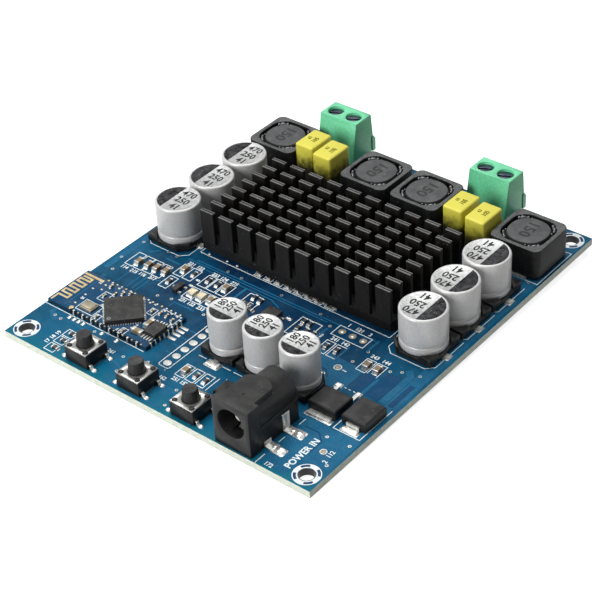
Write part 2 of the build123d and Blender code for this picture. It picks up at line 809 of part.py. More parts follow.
with BuildPart() as memory_chip:
    with BuildSketch(Plane.XY.offset(module_top)):
        with Locations(memory_centre):
            Rectangle(memory_x, memory_y)
    extrude(amount=memory_height)
memory_chip.part.label = "memory_chip"
export_step(memory_chip.part, "parts/memory_chip.step")

with BuildPart() as crystal:
    with BuildSketch(Plane.XY.offset(module_top)):
        with Locations(crystal_centre):
            Rectangle(crystal_x, crystal_y)
    extrude(amount=crystal_height - crystal_lid)
    with BuildSketch(Plane.XY.offset(module_top + crystal_height - crystal_lid)):
        with Locations(crystal_centre):
            Rectangle(crystal_x - 2 * crystal_rim, crystal_y - 2 * crystal_rim)
    extrude(amount=crystal_lid)
crystal.part.label = "crystal"
export_step(crystal.part, "parts/crystal.step")

# Regulator: moulded body with bevelled upper edges, a wide tab and two rear leads
with BuildPart() as regulator_body:
    with BuildSketch(Plane.XY.offset(top + body_stand_off)):
        with Locations((regulator_centre_x, regulator_front_y + regulator_y / 2)):
            Rectangle(regulator_x, regulator_y)
    extrude(amount=regulator_height - body_stand_off)
    chamfer(regulator_body.faces().sort_by(Axis.Z)[-1].edges(), length=body_bevel)
regulator_body.part.label = "regulator_body"
export_step(regulator_body.part, "parts/regulator_body.step")

with BuildPart() as regulator_leads:
    with BuildSketch(Plane.XY.offset(top)):
        with Locations((regulator_centre_x, regulator_front_y - regulator_tab_y / 2)):
            Rectangle(regulator_tab_x, regulator_tab_y)
        with Locations((regulator_centre_x, regulator_front_y + regulator_y + regulator_lead_length / 2)):
            with GridLocations(2 * regulator_lead_offset, 1, 2, 1):
                Rectangle(regulator_lead_width, regulator_lead_length)
    extrude(amount=regulator_tab_thickness)
regulator_leads.part.label = "regulator_leads"
export_step(regulator_leads.part, "parts/regulator_leads.step")

with BuildPart() as diodes:
    with BuildSketch(Plane.XY.offset(top + body_stand_off)):
        with Locations(diode_centre):
            Rectangle(diode_x, diode_y)
    extrude(amount=diode_height - body_stand_off)
    with BuildSketch(Plane.XY.offset(top + body_stand_off)):
        with Locations(protection_diode_centre):
            Rectangle(protection_diode_x, protection_diode_y)
    extrude(amount=protection_diode_height - body_stand_off)
    for body in diodes.solids():
        chamfer(body.faces().sort_by(Axis.Z)[-1].edges(), length=body_bevel)
diodes.part.label = "diodes"
export_step(diodes.part, "parts/diodes.step")

# Each diode stands on two straps that come out of its ends and fold down
strap_places = (
    (diode_centre, diode_y, diode_terminal_width),
    (protection_diode_centre, protection_diode_y, protection_diode_strap),
)
with BuildPart() as diode_terminals:
    with BuildSketch(Plane.XY.offset(top)):
        for (x, y), length, width in strap_places:
            with Locations((x, y)):
                with GridLocations(1, length - diode_strap_inner, 1, 2):
                    Rectangle(width, diode_strap_inner)
    extrude(amount=body_stand_off)
    with BuildSketch(Plane.XY.offset(top)):
        for (x, y), length, width in strap_places:
            with Locations((x, y)):
                with GridLocations(1, length + diode_terminal_reach, 1, 2):
                    Rectangle(width, diode_terminal_reach)
    extrude(amount=diode_terminal_height)
diode_terminals.part.label = "diode_terminals"
export_step(diode_terminals.part, "parts/diode_terminals.step")

# Small chips on the main board
with BuildPart() as ceramic_capacitors:
    with BuildSketch(Plane.XY.offset(top)):
        with Locations(*capacitors_along_y):
            Rectangle(capacitor_width, capacitor_length)
    extrude(amount=capacitor_height)
ceramic_capacitors.part.label = "ceramic_capacitors"
export_step(ceramic_capacitors.part, "parts/ceramic_capacitors.step")

with BuildPart() as chip_resistors:
    with BuildSketch(Plane.XY.offset(top)):
        with Locations(*resistors_along_y):
            Rectangle(resistor_width, resistor_length)
        with Locations(*resistors_along_x):
            Rectangle(resistor_length, resistor_width)
    extrude(amount=resistor_height)
chip_resistors.part.label = "chip_resistors"
export_step(chip_resistors.part, "parts/chip_resistors.step")

with BuildPart() as indicator_lamps:
    with BuildSketch(Plane.XY.offset(top)):
        with Locations(*lamp_centres):
            Rectangle(lamp_x, lamp_y)
    extrude(amount=lamp_height)
indicator_lamps.part.label = "indicator_lamps"
export_step(indicator_lamps.part, "parts/indicator_lamps.step")

with BuildPart() as small_transistors:
    with BuildSketch(Plane.XY.offset(top + small_stand_off)):
        with Locations(transistor_centre):
            Rectangle(transistor_x, transistor_y)
    extrude(amount=transistor_height - small_stand_off)
    with BuildSketch(Plane.XY.offset(top + small_stand_off)):
        with Locations(converter_centre):
            Rectangle(converter_x, converter_y)
    extrude(amount=converter_height - small_stand_off)
small_transistors.part.label = "small_transistors"
export_step(small_transistors.part, "parts/small_transistors.step")

# Leads of the small chips, on the main board and on the module
with BuildPart() as chip_leads:
    with BuildSketch(Plane.XY.offset(top)):
        with Locations(
            (transistor_centre[0] - transistor_lead_offset, transistor_centre[1]),
            (transistor_centre[0] + transistor_lead_offset, transistor_centre[1] - transistor_lead_pitch),
            (transistor_centre[0] + transistor_lead_offset, transistor_centre[1] + transistor_lead_pitch),
        ):
            Rectangle(small_lead_length, small_lead_width)
        with Locations(converter_centre):
            with GridLocations(2 * converter_lead_offset, converter_lead_pitch, 2, 2):
                Rectangle(small_lead_length, small_lead_width)
    extrude(amount=small_lead_height)
    with BuildSketch(Plane.XY.offset(module_top)):
        with Locations(memory_centre):
            with GridLocations(memory_lead_pitch, memory_y + memory_lead_length, 4, 2):
                Rectangle(memory_lead_width, memory_lead_length)
    extrude(amount=small_lead_height)
chip_leads.part.label = "chip_leads"
export_step(chip_leads.part, "parts/chip_leads.step")

# Small chips on the wireless module
with BuildPart() as module_chip_parts:
    with BuildSketch(Plane.XY.offset(module_top)):
        with Locations(*module_chips):
            Rectangle(module_chip_x, module_chip_y)
    extrude(amount=module_chip_height)
    with BuildSketch(Plane.XY.offset(module_top)):
        with Locations(tantalum_along_y):
            Rectangle(tantalum_width, tantalum_length)
        with Locations(tantalum_along_x):
            Rectangle(tantalum_length, tantalum_width)
    extrude(amount=tantalum_height)
module_chip_parts.part.label = "module_chip_parts"
export_step(module_chip_parts.part, "parts/module_chip_parts.step")
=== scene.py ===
"""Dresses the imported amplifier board: finishes, tracks, printed lines, solder, fine leads, light and camera."""
import logging
import math
from dataclasses import dataclass, field
from enum import Enum
from typing import Any, Callable, Iterable, Sequence

import bmesh
import bpy
import numpy as np
from mathutils import Matrix, Vector


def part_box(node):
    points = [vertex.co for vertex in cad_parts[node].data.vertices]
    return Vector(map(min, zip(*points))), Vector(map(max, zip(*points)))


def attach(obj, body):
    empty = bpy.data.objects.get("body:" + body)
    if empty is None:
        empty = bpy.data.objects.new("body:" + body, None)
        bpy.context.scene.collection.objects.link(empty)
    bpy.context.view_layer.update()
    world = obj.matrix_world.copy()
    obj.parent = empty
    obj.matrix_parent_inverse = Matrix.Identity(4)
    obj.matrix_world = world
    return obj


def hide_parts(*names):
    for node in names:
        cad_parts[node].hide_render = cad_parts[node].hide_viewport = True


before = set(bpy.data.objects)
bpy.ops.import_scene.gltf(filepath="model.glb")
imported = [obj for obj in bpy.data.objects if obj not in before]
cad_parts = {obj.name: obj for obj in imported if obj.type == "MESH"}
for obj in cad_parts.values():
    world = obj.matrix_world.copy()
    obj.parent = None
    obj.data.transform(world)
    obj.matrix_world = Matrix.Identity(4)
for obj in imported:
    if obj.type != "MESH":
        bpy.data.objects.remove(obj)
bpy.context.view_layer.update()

log = logging.getLogger("amplifier_board")

MM = 0.001
BOARD_TOP = 1.6
MODULE_TOP = 2.6
FRONT_EDGE = -48.0
SUNK = 0.02
DUST_TONE = (176, 174, 168)
SCRATCH_TONE = (205, 205, 200)
Pair = tuple[float, float]
Triple = tuple[float, float, float]
Colour = Triple


def linear(colour: Colour) -> tuple[float, float, float, float]:
    """Turns a screen colour of 0 to 255 into linear light.

    Args:
        colour: red, green and blue as a screen shows them.

    Returns:
        Red, green, blue and an alpha of one.
    """
    c = np.asarray(colour, float) / 255
    c = np.where(c <= 0.04045, c / 12.92, ((c + 0.055) / 1.055) ** 2.4)
    return (float(c[0]), float(c[1]), float(c[2]), 1.0)


@dataclass
class Net:
    """A node tree with short ways to add nodes and join them.

    Args:
        tree: the material's or group's tree.
    """

    tree: bpy.types.NodeTree

    def add(self, kind: str, inputs: dict | None = None, **settings: Any) -> bpy.types.Node:
        """Adds a node.

        Args:
            kind: the node's type name.
            inputs: values or sockets by input name or number.
            settings: the node's own properties.

        Returns:
            The new node.
        """
        node = self.tree.nodes.new(kind)
        for key, value in settings.items():
            setattr(node, key, value)
        for key, value in (inputs or {}).items():
            if isinstance(value, bpy.types.NodeSocket):
                self.tree.links.new(value, node.inputs[key])
            else:
                node.inputs[key].default_value = value
        return node

    def maths(self, operation: str, a: Any, b: Any = 0.0, c: Any = 0.0) -> bpy.types.NodeSocket:
        """Result of a Math node on up to three numbers or sockets."""
        return self.add("ShaderNodeMath", {0: a, 1: b, 2: c}, operation=operation).outputs[0]

    def spread(self, value: Any, low: float, high: float, to_low: Any = 0.0,
               to_high: Any = 1.0) -> bpy.types.NodeSocket:
        """Maps low..high onto to_low..to_high and clamps."""
        return self.add("ShaderNodeMapRange", {0: value, 1: low, 2: high, 3: to_low, 4: to_high}).outputs[0]

    def swing(self, tone: Any, width: float) -> bpy.types.NodeSocket:
        """A tone of 0 to 1 as a swing about nothing, from minus half the width to plus half."""
        return self.maths("MULTIPLY", self.maths("SUBTRACT", tone, 0.5), width)

    def noise(self, place: Any, scale: Any, detail: float) -> bpy.types.NodeSocket:
        """Noise of that scale and detail at a place."""
        return self.add("ShaderNodeTexNoise", {"Vector": place, "Scale": scale, "Detail": detail}).outputs[0]

    def blend(self, factor: Any, a: Any, b: Any, way: str = "MIX") -> bpy.types.NodeSocket:
        """Mixes two colours, with the factor as b's share and the way as how b goes over a."""
        node = self.add("ShaderNodeMix", {0: factor, 6: a, 7: b}, data_type="RGBA", blend_type=way)
        return node.outputs[2]

    def group(self, name: str, inputs: dict) -> bpy.types.Node:
        """Places a shared node group with its own values."""
        return self.add("ShaderNodeGroup", inputs, node_tree=bpy.data.node_groups[name])


def blank(owner: bpy.types.Material | bpy.types.World) -> Net:
    """Turns on a material's or the world's nodes and empties them.

    Args:
        owner: the material or the world.

    Returns:
        Its net.
    """
    owner.use_nodes = True
    owner.node_tree.nodes.clear()
    return Net(owner.node_tree)


def new_group(name: str, inputs: Sequence[tuple[str, str, Any]], outputs: Sequence[str],
              fill: Callable[[Net, dict], dict]) -> None:
    """Builds a shared shader node group of masks and heights.

    Args:
        name: the group's name.
        inputs: name, socket type and default of each input.
        outputs: names of the number outputs.
        fill: takes the net and the input sockets and gives the output sockets by name.
    """
    tree = bpy.data.node_groups.new(name, "ShaderNodeTree")
    for label, kind, default in inputs:
        socket = tree.interface.new_socket(label, in_out="INPUT", socket_type=kind)
        if default is not None:
            socket.default_value = default
    for label in outputs:
        tree.interface.new_socket(label, in_out="OUTPUT", socket_type="NodeSocketFloat")
    net = Net(tree)
    given = tree.nodes.new("NodeGroupInput").outputs
    result = fill(net, {label: given[label] for label, _, _ in inputs})
    end = tree.nodes.new("NodeGroupOutput")
    for label, socket in result.items():
        tree.links.new(socket, end.inputs[label])


def build_groups() -> None:
    """Builds the groups that the finishes share: mottling, grain, dust, specks and scratches."""
    place = ("Vector", "NodeSocketVector", None)

    def mottling(net: Net, i: dict) -> dict:
        """Coarse noise with a share of finer noise, spread to fill 0 to 1.

        Args:
            net: the group's nodes.
            i: its inputs.

        Returns:
            The tone.
        """
        coarse = net.noise(i["Vector"], i["Scale"], 4.0)
        fine = net.noise(i["Vector"], net.maths("MULTIPLY", i["Scale"], 6.3), 2.0)
        both = net.maths("ADD", net.maths("MULTIPLY", coarse, 0.68), net.maths("MULTIPLY", fine, 0.32))
        return {"Tone": net.spread(both, 0.36, 0.64)}

    def grain(net: Net, i: dict) -> dict:
        """Fine noise as a height, and its peaks as a tone."""
        noise = net.noise(i["Vector"], i["Scale"], 3.0)
        return {"Height": noise, "Tone": net.spread(noise, 0.35, 0.65)}

    def dust(net: Net, i: dict) -> dict:
        """Dust lies on faces that look up, in patches, and thickens with Amount.

        Args:
            net: the group's nodes.
            i: its inputs.

        Returns:
            The mask.
        """
        level = net.maths("MULTIPLY", net.spread(i["Up"], 0.4, 0.95), i["Amount"])
        patch = net.spread(net.noise(i["Vector"], i["Scale"], 5.0), 0.4, 0.7)
        return {"Mask": net.maths("MULTIPLY", level, patch)}

    def specks(net: Net, i: dict) -> dict:
        """Round specks at scattered cells: near a cell's point, in the share of cells asked for.

        Args:
            net: the group's nodes.
            i: its inputs.

        Returns:
            The mask.
        """
        cell = net.add("ShaderNodeTexVoronoi", {"Vector": i["Vector"], "Scale": i["Scale"]})
        near = net.maths("LESS_THAN", cell.outputs["Distance"], 0.3)
        pick = net.add("ShaderNodeSeparateColor", {0: cell.outputs["Color"]}).outputs[0]
        return {"Mask": net.maths("MULTIPLY", near, net.maths("LESS_THAN", pick, i["Share"]))}

    def scratches(net: Net, i: dict) -> dict:
        """Hairlines along the borders of cells, broken up by noise.

        Args:
            net: the group's nodes.
            i: its inputs.

        Returns:
            The mask.
        """
        cell = net.add("ShaderNodeTexVoronoi", {"Vector": i["Vector"], "Scale": i["Scale"]},
                       feature="DISTANCE_TO_EDGE")
        line = net.maths("LESS_THAN", cell.outputs["Distance"], i["Width"])
        gap = net.noise(i["Vector"], i["Scale"], 1.0)
        return {"Mask": net.maths("MULTIPLY", line, net.spread(gap, 0.52, 0.6))}

    number = "NodeSocketFloat"
    new_group("mottling", [place, ("Scale", number, 0.2)], ["Tone"], mottling)
    new_group("grain", [place, ("Scale", number, 6.0)], ["Height", "Tone"], grain)
    new_group("dust", [place, ("Up", number, 1.0), ("Amount", number, 0.1), ("Scale", number, 0.3)], ["Mask"], dust)
    new_group("specks", [place, ("Scale", number, 2.0), ("Share", number, 0.1)], ["Mask"], specks)
    new_group("scratches", [place, ("Scale", number, 0.5), ("Width", number, 0.01)], ["Mask"], scratches)


@dataclass(frozen=True)
class Finish:
    """One surface finish. Patterns are sized per millimetre and relief is in millimetres.

    Args:
        name: the material's name.
        colour: its main screen colour.
        second: the screen colour that the mottling brings in.
        roughness: middle roughness.
        metallic: one for bare metal.
        specular: level of mirror light from a face that is not metal.
        mottle: size of the mottling.
        grain: size of the grain.
        relief: height of the grain.
        stretch: how much the patterns shrink along X, Y and Z.
        dust: share of dust on faces that look up.
        wear: share of pale specks.
        scuff: strength of the scratches.
        coat: weight of a clear coat.
    """

    name: str
    colour: Colour
    second: Colour
    roughness: float = 0.5
    metallic: float = 0.0
    specular: float = 0.4
    mottle: float = 0.35
    grain: float = 7.0
    relief: float = 0.02
    stretch: Triple = (1.0, 1.0, 1.0)
    dust: float = 0.08
    wear: float = 0.03
    scuff: float = 0.0
    coat: float = 0.0

    def patterns(self, net: Net, place: bpy.types.NodeSocket) -> tuple[Any, Any]:
        """The mottling's tone and the grain's node at a place in millimetres."""
        tone = net.group("mottling", {"Vector": place, "Scale": self.mottle}).outputs["Tone"]
        return tone, net.group("grain", {"Vector": place, "Scale": self.grain})

    def paint(self, net: Net, place: bpy.types.NodeSocket, up: bpy.types.NodeSocket) -> tuple[Any, Any]:
        """Gives the bare colour and the height of the surface, before dust and wear.

        Args:
            net: the material's nodes.
            place: Object coordinates in millimetres, stretched.
            up: how far the face looks up, from -1 to 1.

        Returns:
            The colour's and the height's socket.
        """
        tone, grain = self.patterns(net, place)
        colour = net.blend(tone, linear(self.colour), linear(self.second))
        shade = net.spread(grain.outputs["Tone"], 0.0, 1.0, 0.86, 1.08)
        grey = net.add("ShaderNodeCombineColor", {0: shade, 1: shade, 2: shade}).outputs[0]
        return net.blend(1.0, colour, grey, "MULTIPLY"), grain.outputs["Height"]

    def material(self) -> bpy.types.Material:
        """Builds the material once.

        Returns:
            The material of this finish.
        """
        made = bpy.data.materials.get(self.name)
        if made:
            return made
        made = bpy.data.materials.new(self.name)
        net = blank(made)
        where = net.add("ShaderNodeTexCoord")
        place, even = (net.add("ShaderNodeMapping", {"Vector": where.outputs["Object"], "Scale": scale}).outputs[0]
                       for scale in (tuple(s / MM for s in self.stretch), (1 / MM,) * 3))
        up = net.add("ShaderNodeSeparateXYZ", {0: where.outputs["Normal"]}).outputs[2]
        colour, height = self.paint(net, place, up)
        dusty = net.group("dust", {"Vector": even, "Up": up, "Amount": self.dust, "Scale": 0.45}).outputs[0]
        colour = net.blend(dusty, colour, linear(DUST_TONE))
        worn = net.group("specks", {"Vector": even, "Scale": 2.3, "Share": self.wear}).outputs[0]
        pale = tuple(min(255.0, 0.55 * c + 95) for c in self.second)
        colour = net.blend(net.maths("MULTIPLY", worn, 0.5), colour, linear(pale))
        marks = net.group("scratches", {"Vector": place, "Scale": 0.35, "Width": 0.012}).outputs[0]
        colour = net.blend(net.maths("MULTIPLY", marks, self.scuff), colour, linear(SCRATCH_TONE))
        rough = net.spread(height, 0.3, 0.7, self.roughness - 0.09, self.roughness + 0.09)
        rough = net.maths("ADD", rough, net.maths("MULTIPLY", dusty, 0.3))
        bump = net.add("ShaderNodeBump", {"Strength": 0.6, "Distance": self.relief * MM, "Height": height})
        shader = net.add("ShaderNodeBsdfPrincipled", {"Base Color": colour, "Roughness": rough,
                         "Metallic": self.metallic, "Specular IOR Level": self.specular,
                         "Coat Weight": self.coat, "Coat Roughness": 0.12, "Normal": bump.outputs[0]})
        net.add("ShaderNodeOutputMaterial", {0: shader.outputs[0]})
        return made


@dataclass(frozen=True)
class MaskFinish(Finish):
    """Solder mask over glass fibre, with a painted shade that darkens it in the middle and under the heatsink, paler
    to the rim, cream fibre on the cut edge.

    Args:
        painted_shade: screen colour of the painted shade in the middle of the board.
        fibre: screen colour of the cut edge.
        strand: screen colour of the strands in it.
        inner: half-widths in millimetres inside which the mask takes the painted shade.
        middle: where the middle of that area lies along Y.
        rim: how far the mask turns green along the front edge.
        rim_reach: how far past the front edge the green starts and is full; less than nothing is on the board.
        teal: that green's screen colour.
    """

    painted_shade: Colour = (6, 36, 64)
    fibre: Colour = (226, 230, 218)
    strand: Colour = (176, 184, 168)
    inner: Pair = (30.0, 34.0)
    middle: float = 8.0
    rim: float = 0.45
    rim_reach: Pair = (-4.4, 0.4)
    teal: Colour = (14, 108, 116)

    def paint(self, net: Net, place: bpy.types.NodeSocket, up: bpy.types.NodeSocket) -> tuple[Any, Any]:
        """Mixes the mask's colour and its painted shade by place, and the fibre by the face's slope.

        Args:
            net: the material's nodes.
            place: Object coordinates in millimetres.
            up: how far the face looks up.

        Returns:
            The colour's and the height's socket.
        """
        tone, grain = self.patterns(net, place)
        x, y, _ = net.add("ShaderNodeSeparateXYZ", {0: place}).outputs
        # Painted shade: the mask darkens towards the middle and under the heatsink, where shade falls.
        across = net.maths("DIVIDE", net.maths("ABSOLUTE", x), self.inner[0])
        along = net.maths("DIVIDE", net.maths("ABSOLUTE", net.maths("SUBTRACT", y, self.middle)), self.inner[1])
        out = net.maths("MAXIMUM", across, along)
        out = net.maths("ADD", out, net.swing(tone, 0.35))
        mask = net.blend(net.spread(out, 0.6, 1.5), linear(self.painted_shade), linear(self.colour))
        mask = net.blend(net.maths("MULTIPLY", tone, 0.25), mask, linear(self.second))
        near = net.maths("ADD", net.maths("SUBTRACT", FRONT_EDGE, y), net.swing(tone, 2.0))
        mask = net.blend(net.spread(near, *self.rim_reach, 0.0, self.rim), mask, linear(self.teal))
        layers = net.add("ShaderNodeMapping", {"Vector": place, "Scale": (0.35, 0.35, 6.0)}).outputs[0]
        strands = net.noise(layers, 2.2, 6.0)
        edge = net.blend(net.spread(strands, 0.35, 0.68), linear(self.fibre), linear(self.strand))
        flat = net.spread(net.maths("ABSOLUTE", up), 0.3, 0.6)
        height = net.maths("ADD", net.maths("MULTIPLY", grain.outputs["Height"], 0.4),
                           net.maths("MULTIPLY", strands, net.maths("MULTIPLY_ADD", flat, -2.0, 2.0)))
        return net.blend(flat, edge, mask), height


@dataclass(frozen=True)
class FootShadeFinish(Finish):
    """A finish that changes to its second colour towards its foot, a dark painted shade and painted reflection.

    Args:
        low: height in millimetres of the second colour.
        high: height in millimetres of the first colour.
    """

    low: float = 2.0
    high: float = 7.0

    def paint(self, net: Net, place: bpy.types.NodeSocket, up: bpy.types.NodeSocket) -> tuple[Any, Any]:
        """Mixes in the painted shade by height, with an uneven border.

        Args:
            net: the material's nodes.
            place: Object coordinates in millimetres.
            up: how far the face looks up.

        Returns:
            The colour's and the height's socket.
        """
        tone, grain = self.patterns(net, place)
        z = net.add("ShaderNodeSeparateXYZ", {0: place}).outputs[2]
        level = net.maths("ADD", z, net.swing(tone, 2.4))
        colour = net.blend(net.spread(level, self.low, self.high), linear(self.second), linear(self.colour))
        return colour, grain.outputs["Height"]


class Look(Enum):
    """The finishes of this board."""

    MASK = MaskFinish("solder_mask", (10, 84, 114), (14, 88, 128), 0.34, specular=0.07, mottle=0.09, grain=2.6,
                      relief=0.012, dust=0.02, wear=0.004)
    # The dark fibre and strand colours paint shade on the module's cut edge.
    MODULE_MASK = MaskFinish("module_mask", (10, 58, 88), (14, 70, 104), 0.36, specular=0.07, mottle=0.2, grain=3.0,
                             relief=0.01, dust=0.03, wear=0.01, inner=(90.0, 90.0), painted_shade=(10, 58, 90),
                             fibre=(30, 60, 80), strand=(18, 40, 56), rim=0.0)
    TRACK = Finish("mask_over_track", (26, 94, 128), (18, 82, 116), 0.32, specular=0.08, mottle=0.12, grain=3.0,
                   relief=0.01, dust=0.02, wear=0.004)
    GAP = Finish("mask_over_gap", (12, 66, 102), (10, 58, 94), 0.34, specular=0.07, mottle=0.12, grain=3.0,
                 relief=0.01, dust=0.02, wear=0.004)
    INK = Finish("white_ink", (226, 232, 232), (205, 214, 216), 0.62, specular=0.3, mottle=1.2, grain=9.0,
                 relief=0.01, dust=0.02, wear=0.0)
    TIN = Finish("tinned_copper", (200, 200, 195), (168, 168, 163), 0.34, 0.7, mottle=1.1, grain=3.0, relief=0.006,
                 dust=0.05, wear=0.02)
    SOLDER = Finish("solder", (226, 226, 222), (196, 196, 192), 0.3, 0.8, mottle=0.9, grain=2.0, relief=0.012,
                    dust=0.02)
    GOLD = Finish("gold_flash", (200, 180, 136), (168, 146, 104), 0.42, 0.6, mottle=0.9, grain=6.0, dust=0.04)
    COPPER_TAN = Finish("bare_tan_copper", (158, 146, 122), (122, 110, 88), 0.5, 0.4, mottle=0.8, grain=6.0)
    ANODISED = Finish("black_anodising", (30, 28, 26), (19, 18, 17), 0.46, specular=0.2, mottle=0.5, grain=3.2,
                      relief=0.03, stretch=(1.0, 1.0, 0.14), dust=0.0, wear=0.012)
    # Darker than the pins: painted shade on the plate under the pins.
    SHADED_PLATE = Finish("anodised_plate_painted_shade", (13, 13, 13), (20, 20, 20), 0.6, specular=0.1, mottle=0.5, grain=3.2,
                   relief=0.03, dust=0.0, wear=0.004)
    # Lighter tips: a painted highlight where the tips face up, against the groove's painted shade.
    LIT_TIPS = Finish("anodised_tips_painted_highlight", (92, 92, 92), (64, 64, 64), 0.42, mottle=0.8, grain=4.0,
                    stretch=(0.3, 1.0, 1.0), dust=0.05, wear=0.02)
    CAN = Finish("drawn_aluminium", (192, 192, 191), (184, 184, 183), 0.36, 0.15, specular=0.3, mottle=0.3,
                 relief=0.006, stretch=(1.0, 1.0, 0.6), dust=0.02, wear=0.002)
    CAN_TOP = Finish("can_top", (190, 191, 190), (150, 151, 150), 0.45, 0.5, mottle=1.5, relief=0.03, dust=0.03,
                     wear=0.05)
    CAN_INK = Finish("can_ink", (6, 6, 7), (70, 70, 72), 0.6, specular=0.06, mottle=0.9, grain=8.0, dust=0.0,
                     wear=0.16)
    DARK_INK = Finish("dark_ink", (22, 22, 23), (38, 38, 39), 0.6, specular=0.25, mottle=2.0, grain=8.0, dust=0.03)
    MARK = Finish("grey_marking", (150, 152, 152), (112, 114, 114), 0.6, specular=0.3, mottle=2.0, grain=8.0)
    LIP = Finish("ground_lip", (86, 88, 89), (54, 56, 57), 0.5, specular=0.2, mottle=2.4, grain=4.0, relief=0.06,
                 wear=0.1)
    FERRITE = Finish("ferrite_shield", (18, 18, 19), (30, 30, 31), 0.5, specular=0.14, mottle=0.8, grain=4.0,
                     relief=0.05, dust=0.05, wear=0.06)
    DRUM = Finish("ferrite_drum", (64, 65, 67), (50, 51, 53), 0.5, specular=0.3, mottle=0.6, grain=5.0, relief=0.03,
                  wear=0.04)
    GLUE = Finish("black_glue", (14, 14, 15), (26, 26, 28), 0.14, specular=0.6, mottle=0.9, grain=2.0, relief=0.05,
                  dust=0.02, wear=0.01, coat=0.7)
    # The case darkens towards its foot as painted shade and painted reflection.
    YELLOW = FootShadeFinish("yellow_case", (202, 194, 72), (56, 50, 22), 0.42, specular=0.35, mottle=0.7, grain=3.0,
                         relief=0.03, dust=0.02, wear=0.01, low=5.8, high=9.2)
    GREEN = Finish("green_moulding", (114, 206, 158), (96, 190, 142), 0.44, specular=0.35, mottle=0.25, grain=4.0,
                   dust=0.04, wear=0.01)
    # Bluish zinc plating, darkened as painted shade for screws that sit deep in their holes.
    ZINC_SHADED = Finish("zinc_plate_painted_shade", (88, 98, 112), (52, 60, 74), 0.3, 0.9, mottle=0.7, grain=4.0, relief=0.03)
    STEEL = Finish("switch_plate", (176, 176, 172), (146, 146, 143), 0.32, 0.8, mottle=0.5, grain=3.0,
                   stretch=(1.0, 0.2, 1.0), dust=0.04, scuff=0.1)
    NICKEL = Finish("pin_plating", (232, 230, 222), (214, 212, 204), 0.3, 0.5, mottle=0.6, grain=3.0, relief=0.01)
    LID = Finish("stamped_lid", (156, 154, 142), (128, 116, 86), 0.34, 0.5, mottle=0.7, grain=4.0)
    MOULDED = Finish("black_moulding", (13, 13, 13), (23, 23, 23), 0.42, specular=0.22, mottle=0.3, grain=5.0,
                     relief=0.04, dust=0.04, wear=0.01)
    KNURLED = Finish("black_plunger", (20, 20, 21), (46, 46, 47), 0.52, specular=0.22, mottle=2.4, grain=3.0,
                     relief=0.22, wear=0.02)
    EPOXY = Finish("chip_epoxy", (22, 22, 22), (36, 36, 36), 0.5, specular=0.24, mottle=0.9, grain=6.0, relief=0.05,
                   dust=0.05, wear=0.06)
    PACKAGE = Finish("package_epoxy", (16, 16, 17), (27, 27, 28), 0.46, specular=0.2, mottle=0.6, grain=5.0,
                     relief=0.03, dust=0.06, wear=0.02)
    RESISTOR = Finish("resistor_glaze", (30, 31, 34), (44, 45, 48), 0.3, specular=0.5, mottle=1.5, grain=6.0,
                      dust=0.05)
    TAN = Finish("tan_ceramic", (132, 112, 84), (98, 82, 60), 0.46, mottle=1.6, grain=6.0, relief=0.03)
    SMALL_TAN = Finish("pale_ceramic", (144, 126, 90), (98, 84, 58), 0.46, mottle=1.6, grain=6.0, relief=0.03)
    LAMP = Finish("lamp_resin", (226, 212, 176), (202, 188, 150), 0.25, specular=0.5, mottle=1.2, grain=5.0, coat=0.4)
    # Painted shade for the vias' holes, the jack's dimple and the module's notches.
    HOLE_SHADE = Finish("hole_painted_shade", (10, 12, 14), (18, 22, 26), 0.8, specular=0.1, mottle=1.0, grain=5.0, dust=0.0)
    WALL = Finish("hole_wall", (64, 64, 66), (40, 40, 42), 0.4, 0.5, mottle=1.0, grain=4.0)
    BLUE_SLOT = Finish("mask_slot", (14, 44, 78), (20, 56, 92), 0.4, specular=0.16, mottle=0.6, grain=4.0, dust=0.02)

    def material(self) -> bpy.types.Material:
        """The material of this finish."""
        return self.value.material()


